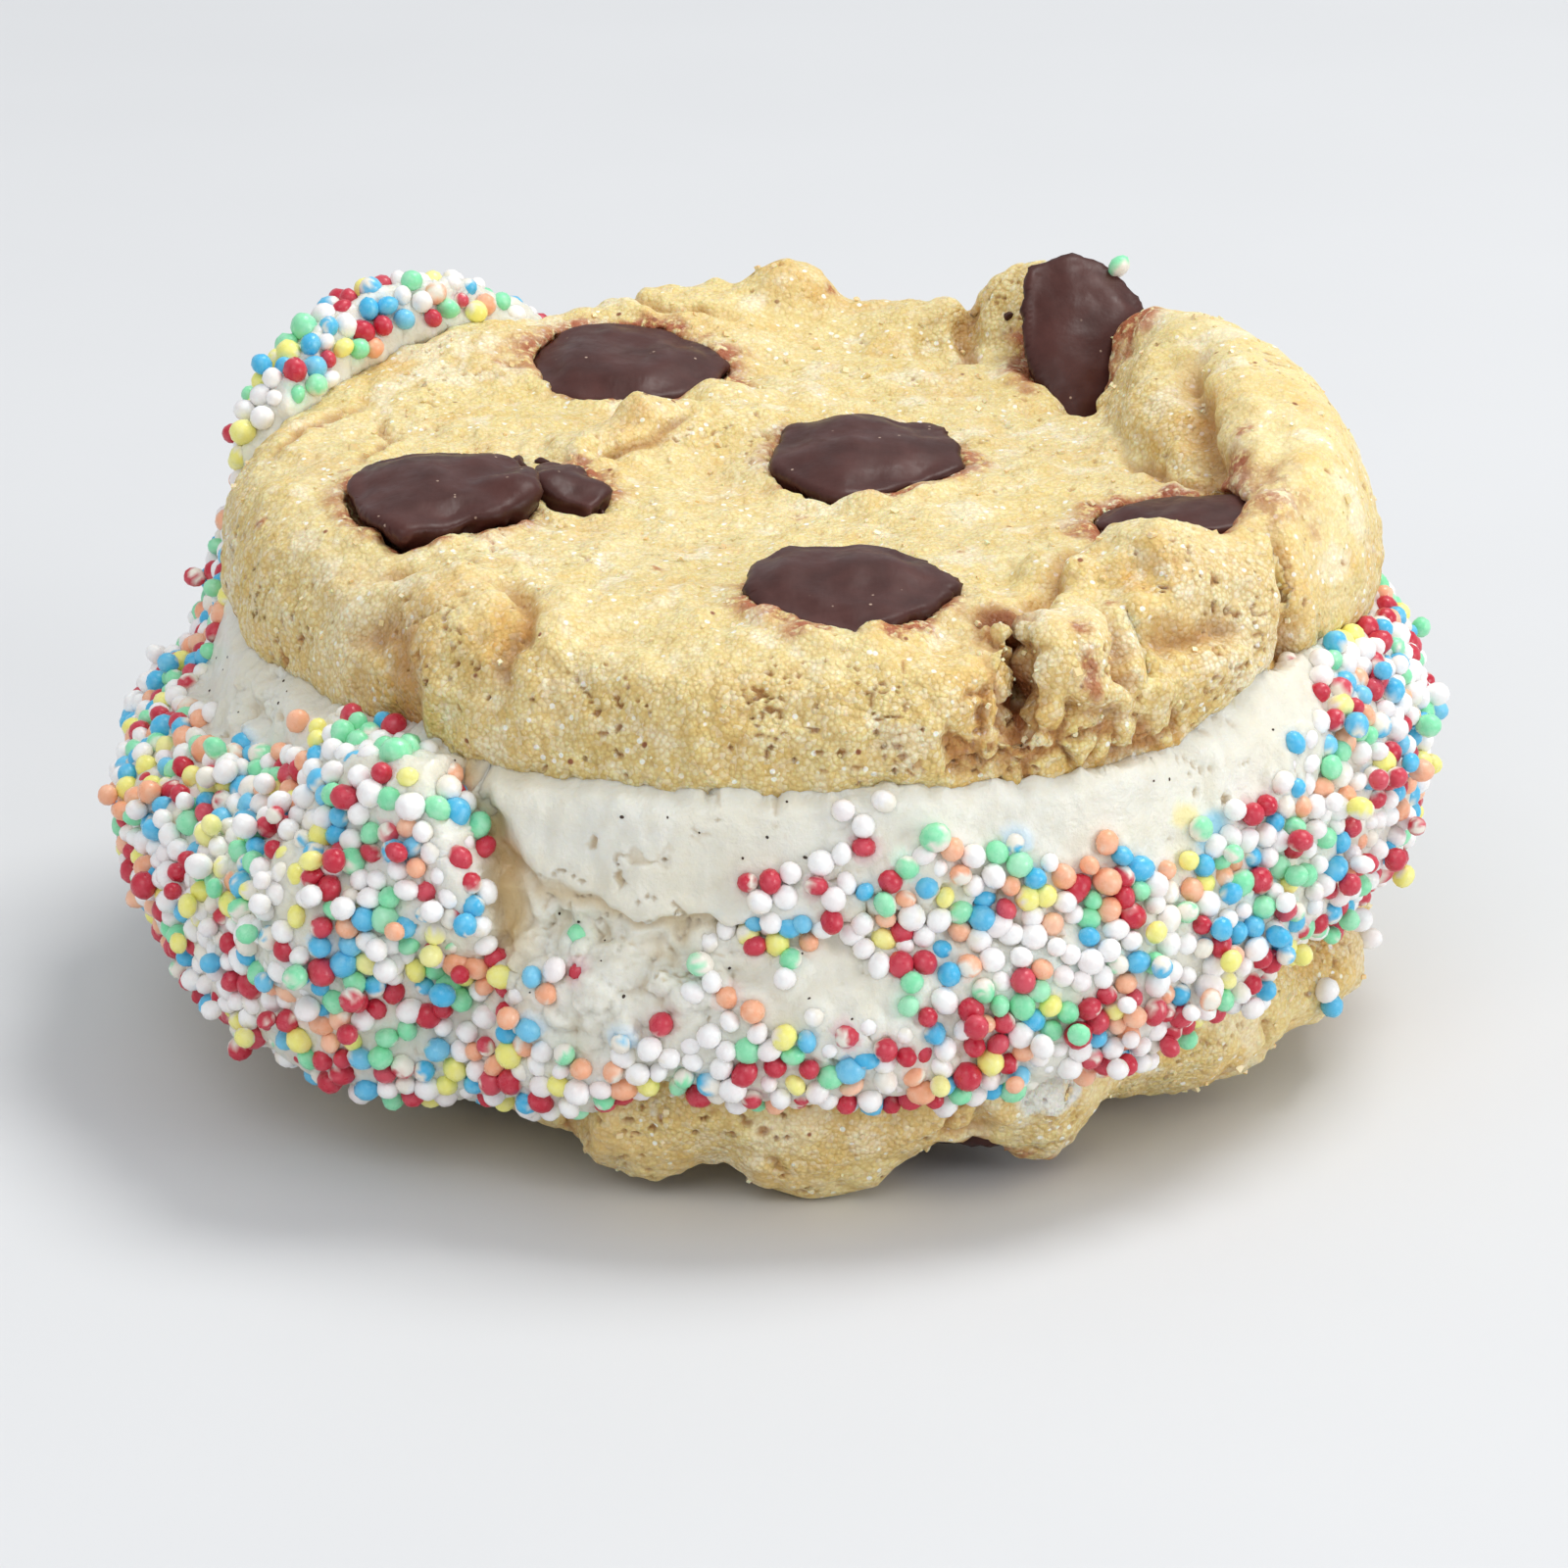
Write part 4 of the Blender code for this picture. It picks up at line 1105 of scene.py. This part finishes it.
def make_balls(balls, kinds, rng):
    """One piece for each colour of ball. Each ball is a little oval and dented, and some are smeared."""
    points, faces = shape_from(bmesh.ops.create_uvsphere, u_segments=12, v_segments=6, radius=0.5)
    for kind, (_, colour, pale) in BALL_KINDS.items():
        middles, normals, sizes, sunk = (values[kinds == kind] for values in balls)
        count = len(middles)
        axes = frames_on(normals, rng)
        stretch = sizes[:, None] * np.clip(rng.normal(1, 0.09, (count, 3)), 0.8, 1.25)
        shapes = points * stretch[:, None, :]
        dented_shapes = shapes * (1 + 0.09 * own_noise(shapes, 0.9, 120)[:, :, None])
        # Ice cream smeared over part of a ball, mostly from below.
        side = unit(rng.normal(size=(count, 3)) + [0, 0, -0.8])
        amount = rng.choice([-1.3, -0.8, -0.35, 0.3], count, p=[0.52, 0.26, 0.15, 0.07]) + 0.8 * sunk
        patch = 2 * side @ points.T + 0.9 * own_noise(shapes, 0.5, 121)
        faded = rng.choice([0, 0.15, 0.45], count, p=[0.65, 0.23, 0.12])
        piece = joined_copies("sugar_balls_" + kind, faces, middles, dented_shapes, axes)
        write_fields(piece, smeared=smooth(patch + amount[:, None], 0, 0.35).ravel(),
                     faded=np.repeat(faded, len(points)))
        dress(piece, None, ball_material("sugar_ball_" + kind, colour, pale))


# ---- small scattered things


def scatter_grains(name, cookie, count, size, low, high, material, rng):
    """Small sugar crystals half sunk into a cookie's crust, between two heights."""
    places, normals = scatter_on(cookie, count, rng)
    kept = (places[:, 2] > low) & (places[:, 2] < high)
    kept &= noise(places, 3, 131) > rng.uniform(-0.2, 0.4, count)
    places, normals = places[kept], normals[kept]
    points, faces = shape_from(bmesh.ops.create_cube, size=1)
    axes = frames_on(normals, rng)
    scale = size * rng.uniform(0.4, 1.3, (len(places), 1)) * rng.uniform(0.75, 1.2, (len(places), 3))
    shapes = points * scale[:, None, :]
    shapes = shapes + np.cross(rng.normal(0, 0.5, (len(places), 1, 3)), shapes)
    piece = joined_copies(name, faces, places + 0.1 * size * normals, shapes, axes)
    dress(piece, None, material).data.shade_flat()


def make_crumbs(cookie, material, rng):
    """Crumbs of chocolate on the upper crust."""
    sizes = np.array([[size] for _, _, size in CHOCOLATE_CRUMBS])
    tree = surface_tree(cookie)
    found = [tree.ray_cast(Vector((x, y, 80)), Vector((0, 0, -1)))[:2] for x, y, _ in CHOCOLATE_CRUMBS]
    places, normals = map(np.array, zip(*found))
    points, faces = shape_from(bmesh.ops.create_icosphere, subdivisions=3, radius=0.5)
    axes = frames_on(normals, rng)
    rough = 1 + 0.5 * own_noise(np.tile(points, (len(sizes), 1, 1)), 0.5, 130)
    stretch = sizes * rng.uniform([0.8, 0.7, 0.45], [1.5, 1.1, 0.7], (len(sizes), 3))
    shapes = points * rough[:, :, None] * stretch[:, None, :]
    piece = joined_copies("chocolate_crumbs", faces, places + 0.12 * sizes * normals, shapes, axes)
    write_fields(piece, broken=0.6)
    dress(piece, None, material)


def make_seeds(cream, material, rng):
    """Vanilla seeds on the bare ice cream."""
    places, normals = scatter_on(cream, SEED_CANDIDATES, rng)
    bare = np.flatnonzero((ball_cover(places) < 0.6) & (np.abs(normals[:, 2]) < 0.9))[:SEED_COUNT]
    points, faces = shape_from(bmesh.ops.create_icosphere, subdivisions=2, radius=0.5)
    axes = frames_on(normals[bare], rng)
    scale = rng.uniform(0.1, 0.24, (len(bare), 1))
    scale = scale * rng.uniform([1, 1, 0.7], [1.7, 1.01, 0.71], (len(bare), 3))
    piece = joined_copies("vanilla_seeds", faces, places[bare], points * scale[:, None, :], axes)
    dress(piece, None, material)


# ---- stage


def make_stage():
    points, faces = shape_from(bmesh.ops.create_grid, x_segments=1, y_segments=1, size=3)
    mesh = bpy.data.meshes.new("floor")
    mesh.from_pydata(points.tolist(), [], faces)
    floor = add_object("floor", mesh)
    floor.location.z = FLOOR_LEVEL
    n = Nodes("pale_floor", roughness=0.7)
    mesh.materials.append(n.shade(base_color=n.mix(n.noise(60), rgb(214, 215, 217), rgb(219, 220, 222))))

    world = bpy.data.worlds.new("daylight")
    world.use_nodes = True
    sky = world.node_tree.nodes["Background"]
    sky.inputs["Color"].default_value = (0.93, 0.96, 1, 1)
    sky.inputs["Strength"].default_value = 0.62
    bpy.context.scene.world = world
    for name, place, size, energy, colour in WINDOWS:
        light = bpy.data.lights.new(name, "AREA")
        light.shape, light.size, light.energy, light.color = "DISK", size, energy, colour
        window = add_object(name, light)
        window.location = place
        window.rotation_euler = (WINDOW_AIM - Vector(place)).to_track_quat("-Z", "Y").to_euler()
    bpy.context.scene.view_settings.view_transform = "Standard"


def make_camera():
    """The view from a little above, in front."""
    camera = bpy.data.cameras.new("camera")
    camera.lens = CAMERA_LENS
    camera.sensor_width = 36
    camera.clip_start = 0.01
    obj = add_object("camera", camera)
    obj.location = CAMERA_PLACE
    obj.rotation_euler = (math.radians(90 - CAMERA_DIP), 0, 0)
    bpy.context.scene.camera = obj


# ---- everything


def main():
    rng = np.random.default_rng(7)
    make_stage()
    make_camera()
    dough = cookie_material()
    rim = rim_radius()
    upper = make_upper_cookie(rim, dough)
    lower = make_lower_cookie(dough)
    cookies = surface_tree(upper, lower)
    chocolate = chocolate_material()
    chunks = [make_chunk(node, CHUNK_VOXEL, chocolate, 200 + 10 * i, 2 if node.endswith("shard") else 1)
              for i, node in enumerate(UPPER_CHUNKS)]
    for i, node in enumerate(LOWER_CHUNKS):
        make_chunk(node, HIDDEN_CHUNK_VOXEL, chocolate, 300 + 10 * i)

    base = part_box("cookie_upper")[0].z / MM
    cream = make_cream_form(rim, cookies, base)
    balls = place_balls(cream, cookies, rng)
    kinds = choose_kinds(len(balls[0]), rng)
    make_cream(cream, balls, kinds, cream_material(), rng)
    balls, kinds = add_strays(balls, kinds, surface_tree(upper, lower, *chunks))
    make_balls(balls, kinds, rng)
    make_seeds(cream, seed_material(), rng)
    make_crumbs(upper, chocolate, rng)
    sugar = sugar_material()
    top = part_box("cookie_lower")[1].z / MM
    scatter_grains("sugar_on_upper_cookie", upper, 2600, 0.25, base + 0.8, 99, sugar, rng)
    scatter_grains("sugar_on_lower_cookie", lower, 1500, 0.26, 0.6, top - 0.8, sugar, rng)


main()
